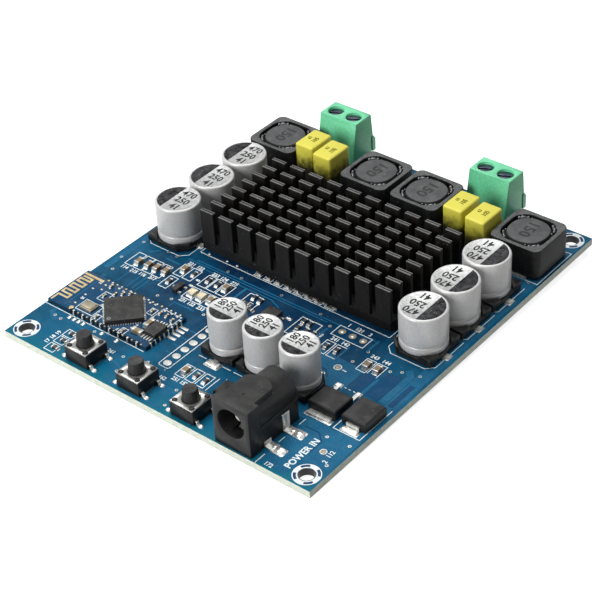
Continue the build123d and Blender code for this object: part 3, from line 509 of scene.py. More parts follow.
@dataclass
class Surface:
    """Faces over points in millimetres, as whole arrays.

    Args:
        points: (n, 3) places.
        corners: the faces' point numbers, one after another.
        sizes: number of corners of each face.
        looks: number of each face's finish in the piece's list.
    """

    points: np.ndarray
    corners: np.ndarray
    sizes: np.ndarray
    looks: np.ndarray

    def moved(self, x: float = 0.0, y: float = 0.0, z: float = 0.0) -> "Surface":
        """Shifts every point."""
        return Surface(self.points + (x, y, z), self.corners, self.sizes, self.looks)

    def mapped(self, matrix: Sequence[Sequence[float]]) -> "Surface":
        """Applies a 3 by 3 matrix to every point, and turns the faces round if it mirrors.

        Args:
            matrix: rows of the matrix.

        Returns:
            The mapped surface.
        """
        m = np.asarray(matrix, float)
        corners = self.corners
        if np.linalg.det(m) < 0:
            starts = np.repeat(np.cumsum(self.sizes) - self.sizes, self.sizes)
            ends = starts + np.repeat(self.sizes, self.sizes) - 1
            corners = corners[ends - (np.arange(len(corners)) - starts)]
        return Surface(self.points @ m.T, corners, self.sizes, self.looks)

    def turned(self, degrees: float) -> "Surface":
        """Turns it anticlockwise from above: x' = x cos a - y sin a, y' = x sin a + y cos a."""
        a = math.radians(degrees)
        return self.mapped([[math.cos(a), -math.sin(a), 0], [math.sin(a), math.cos(a), 0], [0, 0, 1]])

    def scaled(self, x: float, y: float, z: float) -> "Surface":
        """Stretches it along the three axes."""
        return self.mapped([[x, 0, 0], [0, y, 0], [0, 0, z]])

    def painted(self, look: int) -> "Surface":
        """Gives every face one finish number."""
        return Surface(self.points, self.corners, self.sizes, np.full(len(self.sizes), look))

    def repeated(self, places: Iterable[Sequence[float]]) -> "Surface":
        """Copies it to each place.

        Args:
            places: (x, y, z) shifts.

        Returns:
            All the copies as one surface.
        """
        at = np.asarray(list(places), float).reshape(-1, 3)
        count, n = len(at), len(self.points)
        points = (self.points[None] + at[:, None]).reshape(-1, 3)
        corners = (self.corners[None] + n * np.arange(count)[:, None]).ravel()
        return Surface(points, corners, np.tile(self.sizes, count), np.tile(self.looks, count))


def join(parts: Sequence[Surface]) -> Surface:
    """Puts surfaces together, each with its own finish numbers.

    Args:
        parts: the surfaces.

    Returns:
        One surface.
    """
    starts = np.cumsum([0] + [len(p.points) for p in parts[:-1]])
    return Surface(np.concatenate([p.points for p in parts]),
                   np.concatenate([p.corners + s for p, s in zip(parts, starts)]),
                   np.concatenate([p.sizes for p in parts]), np.concatenate([p.looks for p in parts]))


def swept(rings: np.ndarray, closed: bool = False, look: int = 0) -> Surface:
    """Skins a grid of closed rings: face (i, j) joins places j and j + 1 of rings i and i + 1; flat faces end it.

    Args:
        rings: (rings, places, 3) points, each ring anticlockwise seen from the next one's side.
        closed: the last ring meets the first.
        look: finish number.

    Returns:
        The closed surface.
    """
    count, around = rings.shape[:2]
    i, j = np.meshgrid(np.arange(count if closed else count - 1), np.arange(around), indexing="ij")
    k, step = (i + 1) % count, (j + 1) % around
    quads = np.stack([i * around + j, i * around + step, k * around + step, k * around + j], -1).ravel()
    sizes = np.full(i.size, 4)
    if not closed:
        first, last = np.arange(around)[::-1], np.arange(around) + (count - 1) * around
        quads = np.concatenate([quads, first, last])
        sizes = np.concatenate([sizes, [around, around]])
    return Surface(rings.reshape(-1, 3).astype(float), quads, sizes, np.full(len(sizes), look))


def revolved(profile: Sequence[Pair], sides: int = 32, look: int = 0) -> Surface:
    """Turns a profile round Z: point (i, j) is (r_i cos t_j, r_i sin t_j, z_i), with t_j in equal steps.

    Args:
        profile: (radius, height) from the foot up.
        sides: steps round.
        look: finish number.

    Returns:
        The surface.
    """
    r, z = np.asarray(profile, float).T
    t = 2 * np.pi * np.arange(sides) / sides
    level = np.broadcast_to(z[:, None], (len(r), sides))
    return swept(np.stack([r[:, None] * np.cos(t), r[:, None] * np.sin(t), level], -1), look=look)


def rounded(width: float, depth: float, radius: float, steps: int = 3) -> np.ndarray:
    """Outline of a rectangle with round corners, each an arc of equal steps.

    Args:
        width: size along X.
        depth: size along Y.
        radius: corner radius.
        steps: points on each corner less one.

    Returns:
        (4 * (steps + 1), 2) points, anticlockwise.
    """
    radius = max(min(radius, width / 2 - 1e-4, depth / 2 - 1e-4), 1e-4)
    angle = np.linspace(0, np.pi / 2, steps + 1)
    turn = np.arange(4)[:, None] * np.pi / 2 + angle
    sign = np.array([[1, 1], [-1, 1], [-1, -1], [1, -1]])[:, None]
    middle = sign * (width / 2 - radius, depth / 2 - radius)
    return (middle + radius * np.stack([np.cos(turn), np.sin(turn)], -1)).reshape(-1, 2)


def stacked(levels: Sequence[tuple[np.ndarray, float]], look: int = 0) -> Surface:
    """Skins outlines of as many points each, given as (outline, height) from the foot up."""
    rings = np.stack([np.column_stack([outline, np.full(len(outline), z)]) for outline, z in levels])
    return swept(rings, look=look)


def block(size: Sequence[float], corner: float = 0.1, edge: float = 0.08, look: int = 0, steps: int = 2) -> Surface:
    """A box with round upright corners and a round top edge: inset e (1 - cos a) at height h - e (1 - sin a).

    Args:
        size: width, depth and height; it stands on z = 0, centred in X and Y.
        corner: radius of the upright corners.
        edge: radius of the top edge.
        look: finish number.
        steps: steps of each arc.

    Returns:
        The surface.
    """
    width, depth, height = size
    levels = [(rounded(width, depth, corner, steps), 0.0)]
    for a in np.linspace(0, np.pi / 2, steps + 1):
        inset = edge * (1 - math.cos(a))
        outline = rounded(width - 2 * inset, depth - 2 * inset, corner - inset, steps)
        levels.append((outline, height - edge * (1 - math.sin(a))))
    return stacked(levels, look)


def mound(radius: float, height: float, sides: int = 10, look: int = 0, power: float = 1.0) -> Surface:
    """A drop of solder: radius r cos(a) ** power at height h sin(a). A power above one spreads its foot."""
    a = np.linspace(0, 0.49 * np.pi, 7)
    return revolved(list(zip(radius * np.cos(a) ** power + 0.01, height * np.sin(a))), sides, look)


def stroke(path: Sequence, width: float, z: float = BOARD_TOP, height: float = 0.03, closed: bool = False,
           look: int = 0) -> Surface:
    """A raised line: at each point the two sides lie half a width off, along the mitre of the runs that meet there.

    Args:
        path: x and y of each point, in pairs or all in one row.
        width: of the line.
        z: of the face that it lies on.
        height: above that face.
        closed: the line ends where it starts.
        look: finish number.

    Returns:
        The surface.
    """
    p = np.asarray(path, float).reshape(-1, 2)
    before = np.roll(p, 1, 0) if closed else np.concatenate([2 * p[:1] - p[1:2], p[:-1]])
    after = np.roll(p, -1, 0) if closed else np.concatenate([p[1:], 2 * p[-1:] - p[-2:-1]])
    u, v = p - before, after - p
    u /= np.maximum(np.linalg.norm(u, axis=1, keepdims=True), 1e-9)
    v /= np.maximum(np.linalg.norm(v, axis=1, keepdims=True), 1e-9)
    along = u + v
    along /= np.maximum(np.linalg.norm(along, axis=1, keepdims=True), 1e-9)
    side = np.stack([-along[:, 1], along[:, 0]], 1)
    side *= width / 2 / np.clip((along * u).sum(1, keepdims=True), 0.4, 1)
    left, right = p + side, p - side
    low, high = np.full((len(p), 1), z - SUNK), np.full((len(p), 1), z + height)
    rings = np.stack([np.hstack([right, low]), np.hstack([left, low]), np.hstack([left, high]),
                      np.hstack([right, high])], 1)
    return swept(rings, closed, look)


def outline_box(x0: float, x1: float, y0: float, y1: float, width: float = 0.17, look: int = 0,
                z: float = BOARD_TOP) -> Surface:
    """A printed rectangle."""
    return stroke([(x0, y0), (x1, y0), (x1, y1), (x0, y1)], width, z, closed=True, look=look)


def pad(x: float, y: float, width: float, depth: float, look: int = 0, z: float = BOARD_TOP,
        height: float = 0.04, corner: float = 0.08) -> Surface:
    """A flat pad with its centre at (x, y)."""
    steps = 5 if corner > 0.3 else 2
    return block((width, depth, height + SUNK), corner, 0.02, look, steps).moved(x, y, z - SUNK)


def ring(x: float, y: float, inner: float, outer: float, z: float = BOARD_TOP, height: float = 0.035, look: int = 0,
         sides: int = 24) -> Surface:
    """A flat ring: a line of the ring's width along its middle circle.

    Args:
        x: of its middle.
        y: of its middle.
        inner: radius of the hole.
        outer: radius of the rim.
        z: of the face that it lies on.
        height: above that face.
        look: finish number.
        sides: steps round.

    Returns:
        The surface.
    """
    t = 2 * np.pi * np.arange(sides) / sides
    middle = (inner + outer) / 2
    path = np.column_stack([x + middle * np.cos(t), y + middle * np.sin(t)])
    return stroke(path, outer - inner, z, height, True, look)


@dataclass
class Lettering:
    """Raised numbers and words in the built-in font.

    Args:
        made: outlines already made, by text.
    """

    made: dict = field(default_factory=dict)

    def flat(self, text: str) -> Surface:
        """Makes a text one millimetre high and thick, centred at the origin.

        Args:
            text: the words.

        Returns:
            The surface.
        """
        if text not in self.made:
            curve = bpy.data.curves.new("lettering", "FONT")
            curve.body, curve.size, curve.extrude, curve.resolution_u = text, 1.0, 0.5, 2
            curve.align_x, curve.align_y, curve.offset = "CENTER", "CENTER", 0.026
            carrier = link("lettering", curve)
            mesh = bpy.data.meshes.new_from_object(carrier.evaluated_get(bpy.context.evaluated_depsgraph_get()))
            points = np.zeros(len(mesh.vertices) * 3)
            mesh.vertices.foreach_get("co", points)
            corners = np.zeros(len(mesh.loops), int)
            mesh.loops.foreach_get("vertex_index", corners)
            sizes = np.zeros(len(mesh.polygons), int)
            mesh.polygons.foreach_get("loop_total", sizes)
            points = points.reshape(-1, 3)
            tall = np.ptp(points[:, 1]) or 1.0
            middle = (points.max(0) + points.min(0)) / 2
            points = (points - (middle[0], middle[1], 0)) / (tall, tall, 1.0)
            self.made[text] = Surface(points, corners, sizes, np.zeros(len(sizes), int))
            bpy.data.objects.remove(carrier)
            bpy.data.curves.remove(curve)
            bpy.data.meshes.remove(mesh)
        return self.made[text]

    def put(self, text: str, x: float, y: float, height: float, turn: float = 0.0, z: float = BOARD_TOP,
            look: int = 0, rise: float = 0.03, narrow: float = 1.0) -> Surface:
        """Lays a text on a level face.

        Args:
            text: the words.
            x: middle of the text.
            y: middle of the text.
            height: of its figures.
            turn: degrees, anticlockwise from above.
            z: of the face.
            look: finish number.
            rise: above the face.
            narrow: width against the font's own.

        Returns:
            The surface.
        """
        thick = rise + SUNK
        letters = self.flat(text).scaled(height * narrow, height, thick)
        return letters.turned(turn).moved(x, y, z + rise - thick / 2).painted(look)


LETTERS = Lettering()


def extent(node: str) -> tuple[np.ndarray, np.ndarray, np.ndarray]:
    """Lowest corner, highest corner and middle of a CAD node's box, in millimetres."""
    low, high = (np.array(v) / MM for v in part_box(node))
    return low, high, (low + high) / 2


def link(name: str, data: Any) -> bpy.types.Object:
    """Makes an object of a mesh, camera or lamp and links it into the scene.

    Args:
        name: the object's name.
        data: what it shows.

    Returns:
        The new object.
    """
    made = bpy.data.objects.new(name, data)
    bpy.context.scene.collection.objects.link(made)
    return made


def settle(name: str, mesh: bpy.types.Mesh, slot: str, body: str, stands_for: Sequence[str]) -> bpy.types.Object:
    """Puts a finished mesh into the scene and ties it to the frame.

    Args:
        name: the piece's name.
        mesh: its faces.
        slot: not used.
        body: the CAD body that it rides on.
        stands_for: CAD nodes that it replaces.

    Returns:
        The new object.
    """
    made = link(name, mesh)
    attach(made, body)
    if stands_for:
        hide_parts(*stands_for)
    return made


def add_piece(name: str, surface: Surface, looks: Sequence[Look], slot: str, body: str = "board",
              stands_for: Sequence[str] = (), sharp: float = 38.0) -> bpy.types.Object:
    """Puts a surface into the scene.

    Args:
        name: the piece's name.
        surface: its faces.
        looks: its finishes, in the order of its finish numbers.
        slot: not used; only passed on.
        body: the CAD body that it rides on.
        stands_for: CAD nodes that it replaces.
        sharp: angle in degrees past which an edge is shaded sharp.

    Returns:
        The new object.
    """
    mesh = bpy.data.meshes.new(name)
    mesh.vertices.add(len(surface.points))
    mesh.vertices.foreach_set("co", (surface.points * MM).astype(np.float32).ravel())
    mesh.loops.add(len(surface.corners))
    mesh.loops.foreach_set("vertex_index", surface.corners.astype(np.int32))
    mesh.polygons.add(len(surface.sizes))
    mesh.polygons.foreach_set("loop_start", (np.cumsum(surface.sizes) - surface.sizes).astype(np.int32))
    mesh.polygons.foreach_set("material_index", surface.looks.astype(np.int32))
    mesh.polygons.foreach_set("use_smooth", np.ones(len(surface.sizes), bool))
    mesh.update(calc_edges=True)
    mesh.validate()
    mesh.set_sharp_from_angle(angle=math.radians(sharp))
    for look in looks:
        mesh.materials.append(look.material())
    return settle(name, mesh, slot, body, stands_for)


def dress(node: str, look: Look) -> None:
    """Gives a CAD node its finish.

    Args:
        node: the CAD node.
        look: its finish.
    """
    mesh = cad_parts[node].data
    mesh.materials.clear()
    mesh.materials.append(look.material())


def soften(node: str, look: Look, edge: float, slot: str, body: str = "board", steps: int = 2) -> bpy.types.Object:
    """Makes a copy of a CAD node whose hard edges are rounded, to stand for it.

    The copy's points are merged and its flat faces joined before the Bevel modifier rounds the edges over 30 degrees.

    Args:
        node: the CAD node.
        look: its finish.
        edge: width of the rounding in millimetres.
        slot: not used; only passed on.
        body: the CAD body that it rides on.
        steps: segments of the rounding.

    Returns:
        The new object.
    """
    mesh = bpy.data.meshes.new(node + "_rounded")
    work = bmesh.new()
    work.from_mesh(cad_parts[node].data)
    bmesh.ops.remove_doubles(work, verts=work.verts, dist=2e-6)
    bmesh.ops.dissolve_limit(work, angle_limit=math.radians(1), verts=work.verts, edges=work.edges)
    work.to_mesh(mesh)
    work.free()
    mesh.polygons.foreach_set("use_smooth", np.ones(len(mesh.polygons), bool))
    mesh.materials.clear()
    mesh.materials.append(look.material())
    made = settle(node + "_rounded", mesh, slot, body, [node])
    bevel = made.modifiers.new("edges", "BEVEL")
    bevel.width, bevel.segments, bevel.limit_method = edge * MM, steps, "ANGLE"
    bevel.angle_limit, bevel.harden_normals = math.radians(30), True
    return made


def solids(node: str) -> np.ndarray:
    """Boxes of a CAD node's separate solids, in millimetres.

    Corners at one place share a number; each takes the lowest number in its face until nothing changes.

    Args:
        node: the CAD node.

    Returns:
        (n, 2, 3) lowest and highest corners, sorted by x and then y.
    """
    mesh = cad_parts[node].data
    mesh.calc_loop_triangles()
    co = np.zeros(len(mesh.vertices) * 3)
    mesh.vertices.foreach_get("co", co)
    co = co.reshape(-1, 3) / MM
    tri = np.zeros(len(mesh.loop_triangles) * 3, int)
    mesh.loop_triangles.foreach_get("vertices", tri)
    _, same = np.unique(np.round(co, 3), axis=0, return_inverse=True)
    faces = same.ravel()[tri.reshape(-1, 3)]
    label = np.arange(same.max() + 1)
    while True:
        low = label[faces].min(1)
        new = label.copy()
        np.minimum.at(new, faces.ravel(), np.repeat(low, 3))
        if (new == label).all():
            break
        label = new
    owner = label[same.ravel()]
    boxes = [[co[owner == k].min(0), co[owner == k].max(0)] for k in np.unique(owner)]
    return np.array(sorted(boxes, key=lambda b: (round(b[0][0], 2), b[0][1])))


@dataclass
class MainBoard:
    """The blue board: tracks, pads, vias, hole rings and printed lines.

    Args:
        ink: width of the printed lines.
        holes: places of the four corner holes.
        hole_ring: inner and outer radius of the ring round a hole.
        hole_wall: inner and outer radius of a hole's plated wall.
        hole_slot: middle radius and width of the slots in a ring.
        via: radius of a small plated hole and of its rim.
        can_x: distance of the large cans from the middle.
        can_rows: their places along Y.
        can_frame: half-sizes of a can's printed frame along X and Y, and where its cut corners begin along each.
    """

    ink: float = 0.17
    holes: tuple[Pair, ...] = ((-36.75, -44.75), (36.75, -44.75), (36.75, 44.75), (-36.75, 44.75))
    hole_ring: Pair = (1.76, 2.8)
    hole_wall: Pair = (1.58, 1.72)
    hole_slot: Pair = (2.3, 0.56)
    via: Pair = (0.17, 0.36)
    can_x: float = 32.35
    can_rows: Triple = (-2.5, 8.4, 19.3)
    can_frame: tuple[float, ...] = (5.7, 5.5, 4.1, 4.0)

    def tracks(self) -> Surface:
        """Copper runs under the mask, each a raised line, and darker gaps in the copper at the front right.

        A row holds the run's width and then x and y of each of its points. Each run lies a little higher than the
        one before, so that no two faces share a level.

        Returns:
            The surface, finishes copper and gap.
        """
        runs = ((0.35, -24, -6.8, 24, -6.8), (0.3, -26, -7.5, 12, -7.5), (0.3, -20, -8.4, -2, -8.4, 1, -9.6),
                (0.3, -33, -22.4, -33, -18.4, -30, -17.4), (0.3, -30, -22.6, -30, -18),
                (0.3, -28.6, -22.4, -28.6, -17.6, -25, -16.9), (0.3, -27.5, -22.6, -27.5, -18.2),
                (0.3, -18, -22.4, -18, -20.6, -12.6, -20.6), (0.6, -34.6, -10.6, -32.8, -8.8),
                (0.5, -30, -10.2, -26, -10.2), (2.6, 38, -36, 38, 30), (1.4, -38.4, -20, -38.4, 34),
                (13.4, 20.7, -33, 20.7, -15), (0.6, 31.1, -21, 31.1, -15.7),
                (1.5, 35.8, -21, 35.8, -11.6, 34.4, -10.2), (12.6, 33.2, -41.8, 33.2, -32.2),
                (6.4, 30.1, -47.2, 30.1, -41.8), (0.9, -7.6, -20, -1.5, -20, -1.5, -29),
                (0.3, -5.7, -36.9, -5.7, -39.4, -12, -40.6), (0.3, -8.6, -33.4, -7, -33.4),
                (0.3, -8.8, -30.9, -6.9, -30.9), (0.3, -9, -28.4, -6.9, -28.4), (0.3, -9, -25.8, -6.9, -25.8),
                (0.4, -17.6, -42, -14, -42, -10.6, -43.4), (0.4, -3.4, -41.6, 0.4, -41.6, 3.6, -43),
                (0.4, -24.6, -41, -24.6, -38.4, -31, -38), (0.35, -35, -38.6, -33, -38.6),
                (0.9, -12.4, -46.9, 2, -46.9), (1, -34, -39.6, -36.6, -37.6, -36.6, -22),
                (0.4, -11, -20, -11, -18.6), (0.4, 6, -19.8, 6, -16.4), (0.4, 8.2, -19.8, 8.2, -15.6),
                (0.6, -8.8, -14.8, -8.8, -8.6), (0.5, 13.2, -9, 13.2, -16), (0.5, 24.2, -6.2, 24.2, -10.4),
                (0.35, 20.6, -16.6, 20.6, -11.2))
        gaps = ((2.7, 29.2, -21, 29.2, -15.6), (3.2, 33.3, -21, 33.3, -13.2), (1.2, 37.8, -21, 37.8, -13.6),
                (0.4, 17.6, -19.4, 21, -19.4, 22.6, -21),
                (0.3, 28.2, -34.6, 31.6, -34.6, 33.4, -36.4, 33.4, -39.8))
        made = [stroke(path, width, height=0.012 + 0.0006 * k) for k, (width, *path) in enumerate(runs)]
        made += [stroke(path, width, height=0.04 + 0.001 * k, look=1) for k, (width, *path) in enumerate(gaps)]
        return join(made)

    def vias(self) -> Surface:
        """Small plated holes through the board, from the top and the underside.

        Returns:
            The surface, finishes rim and painted shade in the hole.
        """
        places = ((-12, -6.3), (-1.3, -6), (-36.7, -19.7), (-33, -17.9), (-30, -17.2), (-27.5, -17.4),
                  (-9.2, -18.2), (-10.2, -20.3), (-6, -18), (-4.4, -16.8), (5.4, -17.2), (13.2, -8.2),
                  (14.4, -17.6), (23.8, -14.4), (31.6, -12.6), (33.6, -11.4), (37.6, -17.2), (37.2, -10.4),
                  (24.4, -10.2), (-38.2, -15.4), (-38, -8.6), (-37.6, 0.4), (-24.6, -37.4), (-33.4, -38.4),
                  (-9, -38.2), (-14.2, -39.8), (-12.2, -43.8), (1.4, -41.2), (2.6, -45.8), (13, -42.4),
                  (14.6, -33.6), (33.4, -34.6), (38.4, -34.2), (38.2, -40.8), (-35.2, -38.2), (-15.8, -6.2),
                  (9.2, -6.2), (19.6, -5.6), (-28.4, -8.4), (-31, -8.2), (-19.2, -20.2), (-22.4, -21),
                  (-37.8, 14), (37.6, 27))
        inner, outer = self.via
        # The dark disc in each via is painted shade in the hole.
        one = join([ring(0, 0, inner, outer, 0.0, 0.03, 0, 10), revolved([(inner, -SUNK), (inner, 0.012)], 10, 1)])
        return join([side.repeated([(x, y, z) for x, y in places])
                     for side, z in ((one, BOARD_TOP), (one.scaled(1, 1, -1), 0))])

    def rings(self) -> Surface:
        """Rings round the corner holes, with four slots of mask in each, and the holes' plated walls.

        Returns:
            The surface, finishes ring, slot and wall.
        """
        parts = []
        for x, y in self.holes:
            parts.append(ring(x, y, *self.hole_ring, look=0, sides=40))
            parts.append(ring(x, y, *self.hole_wall, 0.04, BOARD_TOP - SUNK, 2, 40))
            radius, width = self.hole_slot
            for k in range(4):
                t = np.radians(45 + 90 * k + np.linspace(-22, 22, 9))
                path = np.column_stack([x + radius * np.cos(t), y + radius * np.sin(t)])
                parts.append(stroke(path, width, height=0.05, look=1))
        return join(parts)

    def frames(self) -> Surface:
        """Printed outlines round the parts: boxes as x0, x1, y0, y1, and lines as x and y of each point.

        Returns:
            The surface.
        """
        boxes = ((14.8, 22.8, -10, -6.7), (-25.1, -23, -13.4, -9.4), (-22.5, -20.2, -13.4, -9.4),
                 (-18.2, -16, -13.4, -9.4), (-15.7, -13.5, -13.4, -9.4), (-13.1, -10.8, -13.4, -9.4),
                 (-24.9, -22.7, -18.2, -14.2), (-18.2, -16, -18.3, -14.3), (-15.7, -13.5, -18.3, -14.3),
                 (-13.2, -11, -18.3, -14.3), (-36.1, -34, -16.6, -11.9), (-33.6, -31.4, -16.6, -11.9),
                 (-31.2, -28.9, -16.4, -11.9), (-28.5, -26.3, -16.4, -11.9), (-7, -3.3, -13.7, -9.1),
                 (6.8, 11.9, -15, -9), (15.5, 17.7, -15.9, -11.9), (18.2, 20.5, -15.9, -11.9),
                 (25.6, 27.8, -15.8, -11.9), (28.2, 30.5, -15.8, -11.9), (-2.2, -0.1, -37.8, -34),
                 (0.4, 2.5, -37.8, -34), (3, 5.1, -37.8, -34), (-29.3, -26.8, -42, -39.9),
                 (-29.3, -26.8, -44.5, -42.4), (-29.3, -26.8, -47.2, -45))
        feet = ((-10.7, -9), (-8.1, -6.1), (-5.3, -3.4), (-2.6, -0.6), (0.1, 2.3), (3, 5), (5.6, 7.3), (8.3, 10.5))
        boxes += tuple((a, b, -3.8, -2.0) for a, b in feet)
        lines = ((-25.4, -4.2, 25.2, -4.2), (-25.4, -4.2, -25.4, 20), (25.2, -4.2, 25.2, 20),
                 (-2.2, -30.6, -0.2, -30.6), (4, -30.6, 6.1, -30.6), (6.9, -30.6, 9, -30.6), (6, -38, 6, -33.7),
                 (27, -47.9, 27, -45), (27, -41, 27, -39.2), (27, -35, 27, -33),
                 (32.7, -29.2, 32.7, -31.9, 38.9, -31.9, 38.9, -21.7), (32.7, -22.6, 32.7, -21.7, 34.2, -21.7),
                 (-39.8, -36.3, -12, -36.3), (-17.1, -45.5, -17.1, -43), (-21.5, -46.6, -19.3, -46.6),
                 (-7.5, -46.6, -5, -46.6), (-3, -45.5, -3, -43), (6.5, -46.6, 9, -46.6),
                 (-4.5, -37.4, -4.3, -37, -4.3, -22.4, -7.1, -22.4, -7.1, -37, -6.7, -37.4, -4.5, -37.4),
                 (-5.2, -11.6, -4.2, -11.6), (8, -13.7, 11, -13.7), (-4.6, -37.9, -4.6, -38.1),
                 (13, -40.4, 13, -33.2, 7.2, -33.2), (29.4, -21.5, 29.9, -21.5), (28.3, -21.5, 28.8, -21.5),
                 (27.3, -21.5, 27.8, -21.5))
        made = [outline_box(*box, width=self.ink) for box in boxes]
        made += [stroke(line, self.ink) for line in lines]
        half, end, cut_x, cut_y = self.can_frame
        round_can = stroke((-half, end, -half, -cut_y, -cut_x, -end, cut_x, -end, half, -cut_y, half, end), self.ink)
        for x in (-self.can_x, self.can_x):
            made.append(round_can.repeated([(x, y, 0) for y in self.can_rows]))
        for x in (-20.0, 17.0, -32.8, -6.8, 6.8, 32.8):
            made.append(outline_box(x - 6.6, x + 6.6, 27.4, 40.6, self.ink))
        return join(made)

    def numbers(self) -> Surface:
        """Small printed numbers beside the parts, and the word at the power socket.

        Returns:
            The surface.
        """
        small = (("114", -35, -17.6, 0), ("215", -32.4, -17.6, 0), ("116", -30, -17.4, 0),
                 ("217", -27.4, -17.2, 0), ("221", -24, -8.6, 0), ("122", -21.3, -8.6, 0),
                 ("223", -17.1, -8.6, 0), ("124", -14.6, -8.6, 0), ("225", -11.9, -8.6, 0),
                 ("231", -17.1, -19.1, 0), ("132", -14.6, -19.1, 0), ("233", -12.1, -19.1, 0),
                 ("241", 16.6, -10.9, 0), ("142", 19.4, -10.9, 0), ("243", 26.6, -10.8, 0),
                 ("144", 29.5, -10.8, 0), ("1", 16.3, -5.7, 0), ("124", 19, -5.7, 0), ("3", 21.6, -5.7, 0),
                 ("251", -1.1, -38.8, 0), ("152", 1.3, -38.8, 0), ("253", 3.9, -38.8, 0), ("1", 24.2, -17.6, 90),
                 ("2", 37.3, -40.2, 90), ("261", -17.4, -40, 0), ("162", -3.3, -40, 0), ("263", 10.6, -40, 0),
                 ("271", 33.3, -20.3, 0), ("172", 29.5, -46.8, 0), ("8", -19, -12.2, 90), ("8", -19, -14.4, 90),
                 ("281", -8.8, -16.4, 0), ("182", 13.4, -11.8, 90), ("17 18 19", -30.4, -43.5, 90),
                 ("112", 36.9, -37.9, 90), ("291", -24, 24.6, 0), ("192", 20, 24.6, 0), ("293", 0, 42.4, 0),
                 ("194", -12.6, 44, 0))
        parts = [LETTERS.put(text, x, y, 1.05, turn, narrow=0.9) for text, x, y, turn in small]
        parts.append(LETTERS.put("POWER IN", 32.5, -40.8, 1.6, 90, narrow=0.92))
        return join(parts)

    def pads(self) -> Surface:
        """Tinned pads, with drops of solder on those of the large parts.

        Returns:
            The surface, finishes tin, solder and tan copper.
        """
        parts = []
        for y in (-36.05, -33.45, -30.95, -28.4, -25.8, -23.5):
            parts.append(pad(-5.7, y, 1.8, 1.55, 0, corner=0.75))
        for x in (16.3, 18.95, 21.6):
            parts.append(pad(x, -8.15, 1.6, 1.6, 2, corner=0.8))
            parts.append(mound(0.45, 0.16, look=0).moved(x, -8.15, BOARD_TOP))
        for x, y, outer in ((22.5, -17.5, 0.85), (35.4, -38.2, 0.75)):
            parts.append(ring(x, y, outer - 0.22, outer, look=0, sides=20))
            parts.append(pad(x, y, 0.9, 0.9, 2, corner=0.45))
        for x, y, w, d, rise in ((28.7, -42.9, 2.9, 2.1, 0.06), (28.7, -37.1, 2.9, 2.3, 0.06),
                                 (4.9, -11.2, 1.5, 0.8, 0.3), (4.9, -14.8, 1.5, 0.8, 0.3),
                                 (28.7, -31.2, 6.4, 1.5, 0.35), (35.9, -30.9, 4.1, 1.5, 0.45),
                                 (26, -21.7, 1.6, 1.5, 0.4), (30.8, -21.8, 1.3, 1.6, 0.4),
                                 (36, -22.5, 3.6, 1.2, 0.3), (2.05, -31.2, 3.6, 2.2, 0.4),
                                 (11.15, -31, 3, 1.6, 0.3), (20.3, -31, 3, 1.6, 0.3), (2, -20.8, 2.6, 1.4, 0.3),
                                 (11.15, -20.8, 2.6, 1.4, 0.3), (20.3, -20.8, 2.6, 1.4, 0.3),
                                 (10, -39.4, 1.8, 1.3, 0.35), (10, -34, 1.8, 1.3, 0.35)):
            parts.append(pad(x, y, w, d, 0, corner=0.25))
            parts.append(block((w * 0.9, d * 0.86, rise), 0.35, rise * 0.95, 1, 4).moved(x, y, BOARD_TOP))
        for x in (-self.can_x, self.can_x):
            for y in self.can_rows:
                side = math.copysign(5.6, x)
                parts += [pad(x + side, y, 1.6, 2.0, corner=0.2), pad(x - side, y, 1.6, 2.0, corner=0.2)]
        parts += [pad(-10.4, y, 2.2, 0.7, 0) for y in (-26.0, -27.2, -28.4, -29.8)]
        parts += [pad(x, -3.2, 1.3, 1.0) for x in (-9.85, -7.1, -4.35, -1.6, 1.2, 4.0, 6.45, 9.4)]
        for x, y in ((-26.8, -3.2), (-23.3, -3.6), (-18.4, -3.4), (-15.6, -3.4)):
            parts.append(mound(0.35, 0.2, look=1).moved(x, y, BOARD_TOP))
        for x, y in ((-32.2, -36.9), (-30.9, -36.9), (-29.6, -36.9), (-28.3, -36.9), (-23, -36.9), (-18.9, -36.9)):
            parts.append(pad(x, y, 0.7, 1.2, 0))
            parts.append(mound(0.34, 0.22, 8, 1).moved(x, y + 0.1, BOARD_TOP))
        return join(parts)

    def underside(self) -> Surface:
        """Plain wide tracks on the underside.

        Returns:
            The surface.
        """
        runs = ((3, -34, 30, -34, -20, -20, -34), (3, 34, 30, 34, -12, 20, -26),
                (0.5, -26, -30, -10, -14, 10, -14), (0.5, -26, -28, -12, -12, 12, -12),
                (0.5, -20, -40, 8, -40, 8, -20), (2, -20, 36, 20, 36))
        made = join([stroke(path, width, 0.0, 0.015 + 0.001 * k) for k, (width, *path) in enumerate(runs)])
        return made.scaled(1, 1, -1)

    def build(self) -> None:
        """Dresses the board and adds what lies on it."""
        dress("circuit_board", Look.MASK)
        add_piece("board_tracks", join([self.tracks(), self.underside()]), [Look.TRACK, Look.GAP], "board_blue")
        add_piece("board_vias", self.vias(), [Look.TIN, Look.HOLE_SHADE], "tinned_metal")
        add_piece("hole_rings", self.rings(), [Look.INK, Look.BLUE_SLOT, Look.WALL], "tinned_metal")
        add_piece("printed_outlines", self.frames(), [Look.INK], "board_blue")
        add_piece("printed_numbers", self.numbers(), [Look.INK], "board_blue")
        add_piece("board_pads", self.pads(), [Look.TIN, Look.SOLDER, Look.COPPER_TAN], "tinned_metal")


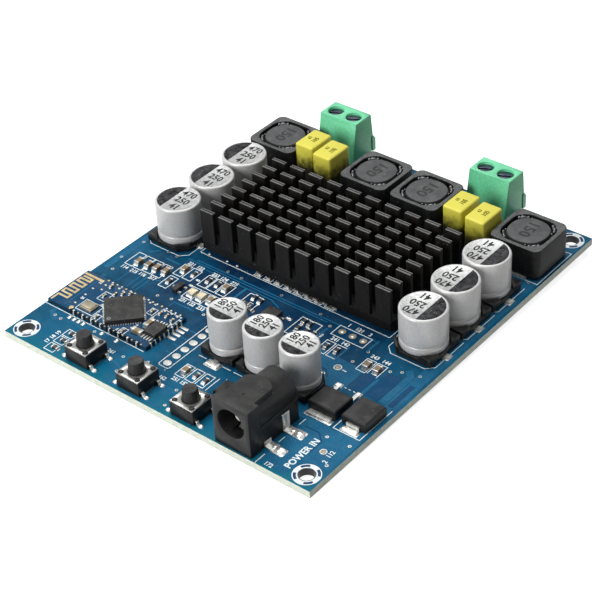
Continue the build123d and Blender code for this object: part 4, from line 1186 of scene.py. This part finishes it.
@dataclass
class HeatSink:
    """The pin heatsink, a plate with a comb of fins cut across into pins, and the row of chips under its edge.

    Args:
        columns: pins along X.
        rows: pins along Y.
        pin: length and thickness of a pin.
        plate: thickness of the plate.
        groove: width and depth of the groove in each tip.
        chips: how far the amplifier chips under it lie to each side, and their place along Y.
        leads: pitch of those chips' leads, and how far a row of them lies from the chip's middle.
        edge_chips: middle in X and Y of the row of chips along the front edge, and its pitch.
    """

    columns: int = 10
    rows: int = 8
    pin: Pair = (3.62, 0.96)
    plate: float = 2.0
    groove: Pair = (0.24, 0.16)
    chips: Pair = (12.5, 8.75)
    leads: Pair = (0.65, 3.6)
    edge_chips: Triple = (0.5, -2.65, 2.53)

    def pin_shape(self, height: float) -> Surface:
        """One pin: its end profile, with a groove in the tip, carried along X and drawn in a little at both ends.

        Args:
            height: of the pin.

        Returns:
            The surface on z = 0, finishes side and tip; the tip's finish is a painted highlight and leaves the groove
            dark as painted shade.
        """
        half, edge = self.pin[1] / 2, 0.07
        w, d = self.groove
        tip = [(w / 2, 0), (w / 2 - 0.03, -d)]
        right = [(half, -height), (half, -edge), (half - edge, 0)] + tip
        profile = np.array(right + [(-y, z) for y, z in reversed(right)]) + (0, height)
        x = np.array([-1, -1, 1, 1]) * self.pin[0] / 2 + (0, edge, -edge, 0)
        shrink = np.array([1, 0, 0, 1]) * edge
        y = profile[None, :, 0] * (1 - shrink / half)[:, None]
        z = np.minimum(profile[None, :, 1], height - shrink[:, None])
        rings = np.stack([np.broadcast_to(x[:, None], y.shape), y, z], -1)
        made = swept(rings)
        # Tip faces take the lighter finish as painted highlight; the groove keeps the dark finish as painted shade.
        lit_tip = np.isin(np.arange(len(profile)), (1, 2, 6, 7))
        made.looks = np.concatenate([np.tile(lit_tip.astype(int), 3), [0, 0]])
        return made

    def chip_row(self) -> Surface:
        """The small chips along the plate's front edge, with tinned ends.

        Returns:
            The surface, finishes body and end.
        """
        body = block((1.1, 1.1, 0.5), 0.06, 0.05, 0)
        end = block((1.12, 0.34, 0.53), 0.06, 0.05, 1)
        one = join([body, end.moved(0, 0.7, 0), end.moved(0, -0.7, 0)])
        x, y, pitch = self.edge_chips
        return one.repeated([(x + pitch * k, y, BOARD_TOP) for k in range(-4, 5)])

    def build(self) -> None:
        """Builds the plate, the pins and the chips under its edge."""
        low, high, (x, y, _) = extent("heatsink")
        span = high - low
        # The plate takes the darker finish as painted shade under the pins.
        plate = block((span[0], span[1], self.plate), 0.15, 0.12, 2).moved(x, y, low[2])
        xs = np.linspace(low[0] + self.pin[0] / 2, high[0] - self.pin[0] / 2, self.columns)
        ys = np.linspace(low[1] + self.pin[1] / 2, high[1] - self.pin[1] / 2, self.rows)
        foot = low[2] + self.plate - 0.1
        one = self.pin_shape(high[2] - foot)
        gx, gy = np.meshgrid(xs, ys)
        places = np.column_stack([gx.ravel(), gy.ravel(), np.full(gx.size, foot)])
        add_piece("pin_heatsink", join([plate, one.repeated(places)]), [Look.ANODISED, Look.LIT_TIPS, Look.SHADED_PLATE],
                  "heatsink_black", stands_for=["heatsink"], sharp=30)
        add_piece("edge_chips", self.chip_row(), [Look.TAN, Look.TIN], "ceramic_tan")
        dress("amplifier_chips", Look.EPOXY)
        lead = block((0.24, 0.95, 0.15), 0.03, 0.03, 0, 1)
        (x, y), (pitch, row) = self.chips, self.leads
        places = [(sx * x + (k - 7.5) * pitch, y + sy * row, BOARD_TOP) for sx in (-1, 1) for sy in (-1, 1)
                  for k in range(16)]
        add_piece("amplifier_chip_leads", lead.repeated(places), [Look.TIN], "tinned_metal")


@dataclass
class CanCapacitors:
    """The nine aluminium can capacitors.

    Args:
        foot: height of a can's foot above the board.
        roll: height above the board of the rolled groove.
        marks: the three printed figures of each kind.
        chords: distance of the dark segment from the middle, as a share of the radius.
        shoulder: radius of the round shoulder.
        border: width of the bare rim round the printed top.
    """

    foot: float = 1.3
    roll: float = 3.15
    marks: tuple[tuple[str, ...], ...] = (("470", "250", "41"), ("180", "250", "41"))
    chords: Pair = (-0.26, -0.42)
    shoulder: float = 0.42
    border: float = 0.56

    def can(self, radius: float, height: float) -> Surface:
        """A can's outline turned round: foot, bead, rolled groove, wall, round shoulder and a slightly sunk top.

        Args:
            radius: of the wall.
            height: of the top above the board.

        Returns:
            The surface on z = 0, finishes wall and top.
        """
        shoulder = self.shoulder
        arc = np.linspace(0, np.pi / 2, 6)
        groove = np.linspace(0, np.pi, 7)
        profile = [(radius - 0.6, self.foot), (radius - 0.16, self.foot + 0.1), (radius, self.foot + 0.4),
                   (radius, self.roll - 0.62), (radius - 0.05, self.roll - 0.5)]
        profile += [(radius - 0.05 - 0.33 * math.sin(a), self.roll - 0.4 * math.cos(a)) for a in groove]
        profile += [(radius - 0.02, self.roll + 0.52), (radius, self.roll + 0.7)]
        profile += [(radius - shoulder * (1 - math.cos(a)), height - shoulder * (1 - math.sin(a))) for a in arc]
        wall = len(profile) - 1
        profile += [(radius - shoulder - 0.06, height), (radius - shoulder - 0.12, height - 0.03)]
        made = revolved(profile, 56)
        made.looks[wall * 56:] = 1
        made.looks[-2] = 0
        return made

    def printing(self, radius: float, kind: int) -> Surface:
        """A dark segment that fills the top on its -X side, and three rows of figures.

        Args:
            radius: of the top.
            kind: which figures.

        Returns:
            The surface on z = 0.
        """
        chord = self.chords[kind]
        limit = math.acos(chord)
        t = np.linspace(limit, 2 * np.pi - limit, 25)
        outline = np.column_stack([radius * np.cos(t), radius * np.sin(t)])
        segment = stacked([(outline, -SUNK), (outline, 0.012)], 0)
        size = radius * (0.44, 0.5)[kind]
        rows = [LETTERS.put(text, radius * x, y * radius, size, 0, 0.0, 0, 0.012, 0.92)
                for text, x, y in zip(self.marks[kind], (0.26, 0.3, 0.26), (0.58, 0.0, -0.58))]
        return join([segment] + rows)

    def build(self) -> None:
        """Builds each can with its printed top, and dresses the plinths."""
        groups = {"left_capacitor_": (("front", "middle", "rear"), 0, 0.0),
                  "right_capacitor_": (("front", "middle", "rear"), 0, 180.0),
                  "input_capacitor_": (("left", "middle", "right"), 1, 90.0)}
        for start, (names, kind, turn) in groups.items():
            for name in names:
                node = start + name
                low, high, (x, y, _) = extent(node)
                radius = (high[0] - low[0]) / 2
                height = high[2] - BOARD_TOP
                add_piece(node + "_can", self.can(radius, height).moved(x, y, BOARD_TOP), [Look.CAN, Look.CAN_TOP],
                          "can_aluminium", stands_for=[node], sharp=50)
                top = self.printing(radius - self.border, kind).turned(turn).moved(x, y, high[2] - 0.03)
                add_piece(node + "_print", top, [Look.CAN_INK], "can_aluminium")
        soften("capacitor_plinths", Look.MOULDED, 0.12, "plinth_black", steps=1)
        dress("capacitor_terminals", Look.TIN)


@dataclass
class Inductors:
    """The four shielded power inductors.

    Args:
        wall: thickness of the shield at its top.
        radius: of the drum's flange.
        square: the power n that makes the flange squarer than a circle.
    """

    wall: float = 0.98
    radius: float = 4.45
    square: float = 2.2

    def shield(self, side: float, height: float) -> Surface:
        """A square shell with round corners: outside, ground lip, inside, and a floor under the drum's flange.

        Args:
            side: of the square.
            height: of the lip above the foot.

        Returns:
            The surface on z = 0, finishes shield and lip.
        """
        levels = ((0.25, 1.5, 0), (0, 1.7, 0.3), (0, 1.7, height - 0.22), (0.08, 1.6, height - 0.06),
                  (0.22, 1.5, height), (self.wall - 0.14, 3.2, height), (self.wall, 3.3, height - 0.14),
                  (self.wall, 3.3, height - 1.6))
        made = stacked([(rounded(side - 2 * inset, side - 2 * inset, corner, 6), z) for inset, corner, z in levels])
        count = len(rounded(side, side, 1.7, 6))
        made.looks[3 * count:6 * count] = 1
        return made

    def flange(self) -> Surface:
        """The drum's top: |x|^n + |y|^n = r^n, rounded at its rim.

        Returns:
            The surface below z = 0.
        """
        t = 2 * np.pi * np.arange(56) / 56
        n = self.square
        r = (np.abs(np.cos(t)) ** n + np.abs(np.sin(t)) ** n) ** (-1 / n)
        shape = np.column_stack([r * np.cos(t), r * np.sin(t)])
        return stacked([(shape * (self.radius - inset), z)
                        for inset, z in ((0, -1.7), (0, -0.22), (0.07, -0.06), (0.25, 0))])

    def glue(self) -> Surface:
        """Glossy drops in the four corners, with small spills.

        Returns:
            The surface, its middle at z = 0.
        """
        drops = []
        for k in range(4):
            a = math.radians(45 + 90 * k)
            r = self.radius * 1.2
            one = mound(0.72, 0.7, 14).scaled(1.5, 0.62, 1).turned(135 + 90 * k)
            drops.append(one.moved(r * math.cos(a), r * math.sin(a), -0.12))
            for spread, size, out in ((0.16, 0.42, 1.02), (-0.2, 0.36, 0.98), (0.02, 0.3, 1.1), (-0.36, 0.26, 0.9)):
                b = a + spread
                drops.append(mound(size, size, 10).moved(r * out * math.cos(b), r * out * math.sin(b), 0.2))
        return join(drops)

    def build(self) -> None:
        """Builds each inductor where its CAD shield stands."""
        turns = {"far_left": 268, "centre_left": 262, "centre_right": 265, "far_right": 272}
        flanges, drops, marks = [], [], []
        for name, turn in turns.items():
            node = "inductor_shield_" + name
            low, high, (x, y, _) = extent(node)
            shell = self.shield(high[0] - low[0], high[2] - low[2]).moved(x, y, low[2])
            add_piece(node + "_shell", shell, [Look.FERRITE, Look.LIP], "ferrite_grey", stands_for=[node])
            flanges.append(self.flange().moved(x, y, high[2] - 0.1))
            drops.append(self.glue().moved(x, y, high[2] - 0.75))
            marks.append(LETTERS.put("150", x, y, 2.7, turn, high[2] - 0.1, 1, 0.012, 1.1))
        add_piece("inductor_drums", join(flanges + marks), [Look.DRUM, Look.DARK_INK], "ferrite_grey",
                  stands_for=["inductor_cores"])
        add_piece("inductor_glue", join(drops), [Look.GLUE], "ferrite_grey")
        dress("inductor_terminals", Look.TIN)


@dataclass
class FilmCapacitors:
    """The four yellow film capacitors.

    Args:
        corner: radius of the upright edges.
        edge: radius of the top edges.
    """

    corner: float = 0.55
    edge: float = 0.45

    def build(self) -> None:
        """Builds the cases and their printed numbers."""
        cases, marks = [], []
        for low, high in solids("film_capacitors"):
            x, y = (low + high)[:2] / 2
            cases.append(block(high - low, self.corner, self.edge, 0, 4).moved(x, y, low[2]))
            marks.append(LETTERS.put("105", x + 0.6, y, 1.15, 90, high[2], 1, 0.0, 0.9))
            marks.append(LETTERS.put("63", x - 1.0, y, 0.9, 90, high[2], 1, 0.0, 0.9))
        add_piece("film_capacitor_cases", join(cases + marks), [Look.YELLOW, Look.DARK_INK], "film_yellow",
                  stands_for=["film_capacitors"])
        dress("film_capacitor_leads", Look.SOLDER)


@dataclass
class ScrewTerminals:
    """The two green terminal blocks with their screws and cages.

    Args:
        edge: rounding of the housings.
    """

    edge: float = 0.22

    def build(self) -> None:
        """Rounds the housings and the screws and dresses the cages."""
        for side in ("left", "right"):
            soften("terminal_block_" + side, Look.GREEN, self.edge, "terminal_green")
        for k in range(1, 5):
            # The screws' darkened zinc is painted shade in the driver holes.
            soften(f"clamp_screw_{k}", Look.ZINC_SHADED, 0.08, "plated_steel", f"clamp_screw_{k}")
            dress(f"clamp_cage_{k}", Look.ZINC_SHADED)
        dress("terminal_contacts", Look.SOLDER)


@dataclass
class PowerJack:
    """The power jack with its centre pin, spring and tabs.

    Args:
        edge: rounding of the housing.
        tip: length of the pin's round tip.
        dimple: place along Y of the dimple in the top.
        tabs: places along Y of the soldered tabs.
        ledge: size of the thin ledge at each side.
        ledge_place: middle between the ledges in X and Y, and how far each lies from it.
    """

    edge: float = 0.14
    tip: float = 0.6
    dimple: float = -43.6
    tabs: Pair = (-42.7, -37.3)
    ledge: Triple = (0.5, 10.9, 5.0)
    ledge_place: Triple = (21.5, -38.95, 4.06)

    def pin(self, radius: float, length: float) -> Surface:
        """The centre pin along -Y: a straight shank and a tip of radius r cos a.

        Args:
            radius: of the shank.
            length: of the whole pin.

        Returns:
            The surface, its foot at the origin.
        """
        a = np.linspace(0, 0.45 * np.pi, 6)
        profile = [(radius, 0.0), (radius, length - self.tip)]
        profile += list(zip(radius * np.cos(a), length - self.tip + self.tip * np.sin(a)))
        return revolved(profile, 32).mapped([[1, 0, 0], [0, 0, -1], [0, 1, 0]])

    def build(self) -> None:
        """Rounds the housing and the tabs, and builds the pin."""
        soften("power_jack_housing", Look.MOULDED, self.edge, "jack_black")
        soften("power_jack_tabs", Look.TIN, 0.06, "tinned_metal", steps=1)
        dress("power_jack_spring", Look.TIN)
        low, high, (x, _, z) = extent("power_jack_pin")
        made = self.pin((high[0] - low[0]) / 2, high[1] - low[1]).moved(x, high[1], z)
        add_piece("power_jack_centre_pin", made, [Look.NICKEL], "nickel_pin", stands_for=["power_jack_pin"])
        top = extent("power_jack_housing")[1][2]
        # The dark disc in the dimple is painted shade.
        dimple = join([ring(x, self.dimple, 0.22, 0.36, top, 0.015, 0, 14),
                       ring(x, self.dimple, 0.02, 0.22, top, 0.005, 1, 14)])
        add_piece("power_jack_dimple", dimple, [Look.MOULDED, Look.HOLE_SHADE], "jack_black")
        drops = []
        for y in self.tabs:
            drops.append(mound(1.0, 0.8, 18, 0, 1.2).scaled(1.35, 0.85, 1).moved(28.9, y, BOARD_TOP))
            drops.append(mound(0.55, 0.6, 14, 0, 1.2).scaled(1.5, 1.2, 1).moved(27.5, y, BOARD_TOP))
        add_piece("power_jack_solder", join(drops), [Look.SOLDER], "tinned_metal")
        x, y, half = self.ledge_place
        ledges = block(self.ledge, 0.06, 0.09, 0, 3).repeated([(x + side * half, y, BOARD_TOP) for side in (-1, 1)])
        add_piece("power_jack_ledges", ledges, [Look.MOULDED], "jack_black")


@dataclass
class PushButtons:
    """The three push buttons.

    Args:
        rivet: radius and height of the corner rivets.
        rivet_offset: from the middle.
        plunger: radius at the cover and at the tip.
        middles: places of the switches along X.
        flange: size of a plunger's flange.
        length: of a plunger.
    """

    rivet: Pair = (0.58, 0.3)
    rivet_offset: float = 2.2
    plunger: Pair = (1.75, 1.52)
    middles: Triple = (-19.95, -5.85, 8.25)
    flange: Triple = (4.16, 4.16, 1.15)
    length: float = 3.1

    def cap(self, height: float) -> Surface:
        """A round plunger that narrows to its tip, with a rounded rim and a slightly dished end.

        Args:
            height: of the tip.

        Returns:
            The surface below z = height.
        """
        wide, thin = self.plunger
        a = np.linspace(0, np.pi / 2, 5)
        foot = height - self.length
        profile = [(wide, foot), (wide, foot + 0.3), (thin + 0.02, height - 0.3)]
        profile += [(thin - 0.25 * (1 - math.cos(k)), height - 0.25 * (1 - math.sin(k))) for k in a]
        profile += [(thin - 0.45, height - 0.03), (0.4, height - 0.06)]
        return revolved(profile, 36)

    def build(self) -> None:
        """Rounds the bases and covers, and builds the plungers, rivets and solder."""
        soften("switch_bases", Look.MOULDED, 0.12, "switch_black", steps=1)
        soften("switch_covers", Look.STEEL, 0.07, "switch_cover_steel", steps=1)
        soften("switch_legs", Look.TIN, 0.05, "tinned_metal", steps=1)
        dress("switch_domes", Look.STEEL)
        rivets, drops = [], []
        a = np.linspace(0, 0.48 * np.pi, 5)
        dome = revolved(list(zip(self.rivet[0] * np.cos(a), self.rivet[1] * np.sin(a))), 18)
        cover = extent("switch_covers")[1][2]
        for side in ("left", "middle", "right"):
            node = "button_" + side
            low, high, (x, y, _) = extent(node)
            flange = block(self.flange, 0.2, 0.1).moved(0, 0, low[2] + 0.02)
            made = join([flange, self.cap(high[2])]).moved(x, y, 0)
            add_piece(node + "_plunger", made, [Look.KNURLED], "switch_black", node, [node])
            rivets.append(dome.repeated([(x + sx * self.rivet_offset, y + sy * self.rivet_offset, cover)
                                         for sx in (-1, 1) for sy in (-1, 1)]))
        for low, high in solids("switch_legs"):
            x, y = (low + high)[:2] / 2
            middle = min(self.middles, key=lambda m: abs(m - x))
            foot = (high[0] if x > middle else low[0]) - math.copysign(0.25, x - middle)
            drops.append(mound(0.55, 0.5, 12, 0, 1.2).scaled(1.25, 0.95, 1).moved(foot, y, BOARD_TOP))
        add_piece("switch_rivets", join(rivets), [Look.MOULDED], "switch_black")
        add_piece("switch_solder", join(drops), [Look.SOLDER], "tinned_metal")


@dataclass
class SmallChips:
    """The chip capacitors, resistors, lamps and small transistors on the main board.

    Args:
        end: length of each tinned end as a share of the chip.
        fillet: how far the solder runs out.
    """

    end: float = 0.2
    fillet: float = 0.32

    def chip(self, length: float, width: float, height: float, along_y: bool) -> Surface:
        """A ceramic body with two tinned ends and a wedge of solder at each.

        Args:
            length: between the ends.
            width: across.
            height: above the board.
            along_y: the chip lies along Y.

        Returns:
            The surface on z = 0, finishes body, end and solder.
        """
        cap = self.end * length
        body = block((length - 0.1, width - 0.04, height - 0.02), 0.05, 0.05, 0, 1)
        end = block((cap, width, height), 0.06, 0.07, 1)
        rise = height * 0.75
        half = width * 0.46
        wedge = np.array([[(0, side, 0), (self.fillet, side * 1.05, 0),
                           (self.fillet * 0.35, side, rise * 0.35), (0, side, rise)] for side in (-half, half)])
        solder = swept(wedge, look=2).moved(length / 2 - 0.03)
        made = join([body, end.moved((length - cap) / 2), end.moved((cap - length) / 2), solder,
                     solder.scaled(-1, 1, 1)])
        return made.turned(90) if along_y else made

    def row(self, node: str, looks: Sequence[Look], slot: str, lift: float = 0.0) -> None:
        """Builds a chip for each solid of a CAD node.

        Args:
            node: the CAD node.
            looks: finishes of body, end and solder.
            slot: not used; only passed on.
            lift: height of the face that the chips lie on above the solids' feet.
        """
        parts = []
        for low, high in solids(node):
            size = high - low
            along_y = bool(size[1] > size[0])
            length, width = (size[1], size[0]) if along_y else (size[0], size[1])
            x, y = (low + high)[:2] / 2
            parts.append(self.chip(length, width, size[2], along_y).moved(x, y, low[2] + lift))
        add_piece(node + "_dressed", join(parts), looks, slot, stands_for=[node])

    def build(self) -> None:
        """Builds the chips and dresses the rest."""
        self.row("ceramic_capacitors", [Look.TAN, Look.TIN, Look.SOLDER], "ceramic_tan")
        self.row("chip_resistors", [Look.RESISTOR, Look.TIN, Look.SOLDER], "resistor_black")
        self.row("indicator_lamps", [Look.LAMP, Look.TIN, Look.SOLDER], "lamp_cream")
        soften("small_transistors", Look.EPOXY, 0.1, "chip_black")
        soften("memory_chip", Look.EPOXY, 0.1, "chip_black")
        dress("chip_leads", Look.TIN)


@dataclass
class PowerParts:
    """The regulator and the diodes beside the jack.

    Args:
        edge: rounding of the bodies.
    """

    edge: float = 0.16

    def build(self) -> None:
        """Rounds the bodies and dresses the leads."""
        soften("regulator_body", Look.PACKAGE, self.edge, "package_black")
        soften("diodes", Look.PACKAGE, self.edge, "package_black")
        dress("regulator_leads", Look.TIN)
        dress("diode_terminals", Look.TIN)


@dataclass
class WirelessModule:
    """The small board soldered on the main one, with its aerial and chips.

    Args:
        low: front left corner.
        high: rear right corner.
        pitch: of the solder points along its edges.
        chip: centre and side of the processor.
        row: middle in X of the solder points along the front and rear edges.
    """

    low: Pair = (-39.6, -35.9)
    high: Pair = (-11.6, -23.9)
    pitch: float = 1.27
    chip: Triple = (-23.2, -30.0, 8.0)
    row: float = -23.2

    def aerial(self) -> Surface:
        """A zigzag of gold track: bars across, joined at alternate ends.

        Returns:
            The surface.
        """
        bars = [-33.4, -32.3, -31.2, -30.1, -29.0, -27.9, -26.8, -25.9]
        path = [(-38.9, -35.6)]
        for k, y in enumerate(bars):
            ends = (-38.9, -36.3) if k % 2 == 0 else (-36.3, -38.9)
            path += [(ends[0], y), (ends[1], y)]
        zigzag = stroke(path, 0.5, MODULE_TOP, 0.03)
        bar = stroke([(-39.3, -25.0), (-33.9, -25.0)], 0.6, MODULE_TOP, 0.03)
        return join([zigzag, bar, pad(-33.3, -35.2, 1.0, 1.0, 0, MODULE_TOP, corner=0.5)])

    def edge_points(self) -> Surface:
        """Half-round solder points: a pad on the top and a drop down to the main board.

        Returns:
            The surface, finishes tin, solder, gold and painted shade in the notches.
        """
        front = pad(0, 0.2, 0.42, 0.44, 0, 0.0)
        drop = mound(0.24, 0.9, 10, 1, 1.3).moved(0, 0.02, -1.0)
        # Dark blocks along the front edge are painted shade in the notches.
        notch = block((0.62, 0.52, 1.03), 0.2, 0.02, 3, 3).moved(self.pitch / 2, 0.18, -1.0)
        x = self.row + (np.arange(17) - 8) * self.pitch
        y = (self.low[1] + self.high[1]) / 2 + (np.arange(8) - 3.5) * self.pitch
        made = [notch.repeated([(k, self.low[1], MODULE_TOP) for k in x[:-1]])]
        for k in (0, 1):
            one = join([front.painted(0 if k else 2), drop])
            near = one if k else front.scaled(0.8, 0.7, 1).painted(2)
            made.append(near.repeated([(v, self.low[1], MODULE_TOP) for v in x[k::2]]))
            made.append(one.turned(180).repeated([(v, self.high[1], MODULE_TOP) for v in x[k::2]]))
            made.append(one.turned(90).repeated([(self.high[0], v, MODULE_TOP) for v in y[k::2]]))
        return join(made)

    def processor(self) -> Surface:
        """The square chip at 45 degrees with fourteen fine leads a side.

        Returns:
            The surface on the module, finishes body, lead and marking.
        """
        x, y, side = self.chip
        low, high, _ = extent("processor")
        body = block((side, side, high[2] - low[2] - 0.06), 0.12, 0.1, 0, 2).moved(0, 0, 0.06)
        dot = ring(-side / 2 + 0.9, -side / 2 + 0.9, 0.25, 0.42, high[2] - low[2], 0.01, 2, 14)
        lead = block((0.22, 0.62, 0.12), 0.03, 0.03, 1, 1)
        row = lead.repeated([((k - 6.5) * 0.5, -side / 2 - 0.12, 0.0) for k in range(14)])
        parts = [body, dot] + [row.turned(90 * k) for k in range(4)]
        return join(parts).turned(45).moved(x, y, low[2])

    def lines(self) -> Surface:
        """Printed outlines and small pads on the module.

        Returns:
            The surface, finishes ink, tin and track.
        """
        boxes = ((-32.5, -27.7, -34.9, -31.4, 0.14), (-27.35, -25.85, -35.65, -33.75, 0.14),
                 (-31.1, -29.1, -30, -27.2, 0.14), (-19.75, -18.25, -35.75, -33.85, 0.14),
                 (-19.25, -17.75, -27.6, -25.6, 0.14), (-17.2, -12.2, -29.1, -24.6, 0.12))
        parts = [outline_box(*box, 0, MODULE_TOP) for box in boxes]
        for x, y in ((-32.8, -25.6), (-32.4, -27.2), (-31.8, -24.7), (-29.6, -24.8), (-28.2, -25), (-24.6, -24.5),
                     (-22.8, -24.5), (-21, -24.6), (-19.6, -24.5), (-16.6, -24.9), (-14.8, -24.8), (-13.2, -24.9),
                     (-17.2, -28), (-15.6, -28.2), (-13.8, -28.1), (-12.6, -27.4), (-18, -31.6), (-18.4, -32.9),
                     (-27.6, -33), (-28.6, -31), (-34, -30.4), (-34.2, -28), (-33.8, -33.6), (-19, -28.4)):
            parts.append(pad(x, y, 0.55, 0.42, 1, MODULE_TOP, 0.05))
        runs = ((-35.2, -24.4, -35.2, -35.4), (-34.6, -35, -33.4, -35, -31, -35.3), (-19.8, -30, -17, -30),
                (-26.6, -25.4, -24.6, -27.4), (-21.8, -25.4, -21.8, -26.6), (-28.8, -29.4, -31.6, -29.4),
                (-12.4, -33.8, -18, -35), (-24, -35.2, -23.2, -34.4), (-28, -27.6, -26.4, -29))
        parts += [stroke(run, 0.22, MODULE_TOP, 0.015, look=2) for run in runs]
        parts += [LETTERS.put(text, x, y, 0.75, 0, MODULE_TOP, 0, narrow=0.9) for text, x, y in
                  (("12", -34.2, -25.6), ("26", -33.6, -31.6), ("5", -20.4, -35.0), ("7", -12.3, -29.4))]
        return join(parts)

    def build(self) -> None:
        """Builds the module's pieces."""
        soften("wireless_module_board", Look.MODULE_MASK, 0.06, "board_blue", steps=1)
        add_piece("module_aerial", self.aerial(), [Look.GOLD], "tinned_metal")
        add_piece("module_solder_points", self.edge_points(), [Look.TIN, Look.SOLDER, Look.GOLD, Look.HOLE_SHADE],
                  "tinned_metal")
        add_piece("module_processor", self.processor(), [Look.EPOXY, Look.TIN, Look.MARK], "chip_black",
                  stands_for=["processor"])
        add_piece("module_lines", self.lines(), [Look.INK, Look.TIN, Look.TRACK], "board_blue")
        soften("crystal", Look.LID, 0.07, "crystal_lid", steps=2)
        SmallChips(end=0.26, fillet=0.16).row("module_chip_parts", [Look.SMALL_TAN, Look.TIN, Look.SOLDER],
                                              "ceramic_small")


@dataclass
class Studio:
    """The camera, the floor and the light.

    Args:
        azimuth: camera's bearing in degrees.
        elevation: camera's height angle in degrees.
        roll: camera's roll in degrees.
        distance: from the point looked at, in millimetres.
        target: point looked at, in millimetres.
        lens: focal length for a sensor 36 wide.
        tilt: slope of the floor, which meets the front edge and the leads' ends.
        reach: half-width of the floor in metres.
        cells: how many squares the floor has along a side.
        fill: strength of the light all round.
    """

    azimuth: float = 41.272
    elevation: float = 37.289
    roll: float = -3.526
    distance: float = 351.946
    target: Triple = (2.776, -4.966, 1.6)
    lens: float = 102.634
    tilt: float = 1.5 / 76.5
    reach: float = 1.6
    cells: int = 8
    fill: float = 0.14

    def camera(self) -> None:
        """Sets the camera that matches the photograph."""
        a, e, r = (math.radians(v) for v in (self.azimuth, self.elevation, self.roll))
        back = Vector((math.sin(a) * math.cos(e), -math.cos(a) * math.cos(e), math.sin(e)))
        right = Vector((0, 0, 1)).cross(back).normalized()
        up = back.cross(right)
        across = math.cos(r) * right + math.sin(r) * up
        upright = -math.sin(r) * right + math.cos(r) * up
        data = bpy.data.cameras.new("camera")
        data.sensor_width, data.lens, data.clip_start, data.clip_end = 36.0, self.lens, 0.01, 10.0
        made = link("camera", data)
        turn = Matrix((across, upright, back)).transposed().to_4x4()
        made.matrix_world = Matrix.Translation((Vector(self.target) + back * self.distance) * MM) @ turn
        bpy.context.scene.camera = made

    def seen(self, net: Net) -> bpy.types.NodeSocket:
        """Picks the rays that show the background itself: from the camera, mirrored or through glass.

        Args:
            net: a material's or the world's nodes.

        Returns:
            One for such rays and zero for the rest.
        """
        path = net.add("ShaderNodeLightPath")
        both = net.maths("MAXIMUM", path.outputs["Is Camera Ray"], path.outputs["Is Glossy Ray"])
        return net.maths("MAXIMUM", both, path.outputs["Is Transmission Ray"])

    def floor(self) -> None:
        """A pale floor that slopes as the board rests, white to the camera away from the shadow."""
        t = np.linspace(-self.reach, self.reach, self.cells + 1)
        x, y = np.meshgrid(t, t, indexing="ij")
        z = (FRONT_EDGE * MM - y) * self.tilt - SUNK * MM
        mesh = bpy.data.meshes.new("floor")
        i, j = np.meshgrid(np.arange(self.cells), np.arange(self.cells), indexing="ij")
        first = (i * (self.cells + 1) + j).ravel()
        faces = np.stack([first, first + self.cells + 1, first + self.cells + 2, first + 1], 1)
        mesh.from_pydata(np.stack([x, y, z], -1).reshape(-1, 3).tolist(), [], faces.tolist())
        made = link("floor", mesh)
        material = bpy.data.materials.new("pale_floor")
        net = blank(material)
        tone = net.noise(net.add("ShaderNodeTexCoord").outputs["Object"], 9.0, 3.0)
        colour = net.blend(tone, linear((172, 172, 172)), linear((180, 180, 180)))
        glow = net.maths("MULTIPLY", self.seen(net), 0.86)
        white = net.add("ShaderNodeCombineColor", {0: glow, 1: glow, 2: glow}).outputs[0]
        shader = net.add("ShaderNodeBsdfPrincipled", {"Base Color": colour, "Roughness": 0.8,
                         "Specular IOR Level": 0.1, "Emission Color": white, "Emission Strength": 1.0})
        net.add("ShaderNodeOutputMaterial", {0: shader.outputs[0]})
        mesh.materials.append(material)

    def lamp(self, name: str, place: Triple, size: Pair, power: float) -> None:
        """A soft rectangular lamp that faces the board.

        Args:
            name: of the lamp.
            place: its middle in metres.
            size: width and height in metres.
            power: in watts.
        """
        data = bpy.data.lights.new(name, "AREA")
        data.shape, data.size, data.size_y, data.energy = "RECTANGLE", size[0], size[1], power
        made = link(name, data)
        made.location = place
        made.rotation_mode = "QUATERNION"
        made.rotation_quaternion = (-Vector(place)).to_track_quat("-Z", "Y")

    def world(self) -> None:
        """A plain grey light all round that shows as white."""
        world = bpy.data.worlds.new("studio")
        bpy.context.scene.world = world
        net = blank(world)
        strength = net.spread(self.seen(net), 0.0, 1.0, self.fill, 1.0)
        shade = net.add("ShaderNodeBackground", {"Color": (1.0, 1.0, 1.0, 1.0), "Strength": strength})
        net.add("ShaderNodeOutputWorld", {0: shade.outputs[0]})

    def build(self) -> None:
        """Sets up the whole studio."""
        self.camera()
        self.floor()
        self.world()
        self.lamp("overhead", (-0.12, 0.1, 0.62), (0.5, 0.5), 4.3)
        self.lamp("front", (-0.16, -0.67, 0.34), (0.34, 0.38), 5.6)
        bpy.context.scene.view_settings.view_transform = "Standard"


def main() -> None:
    """Builds and dresses every sub-assembly in order."""
    logging.basicConfig(level=logging.INFO, format="%(message)s")
    build_groups()
    for part in (Studio(), MainBoard(), HeatSink(), CanCapacitors(), Inductors(), FilmCapacitors(), ScrewTerminals(),
                 PowerJack(), PushButtons(), SmallChips(), PowerParts(), WirelessModule()):
        part.build()
        log.info("built %s", type(part).__name__)


if __name__ == "__main__":
    main()
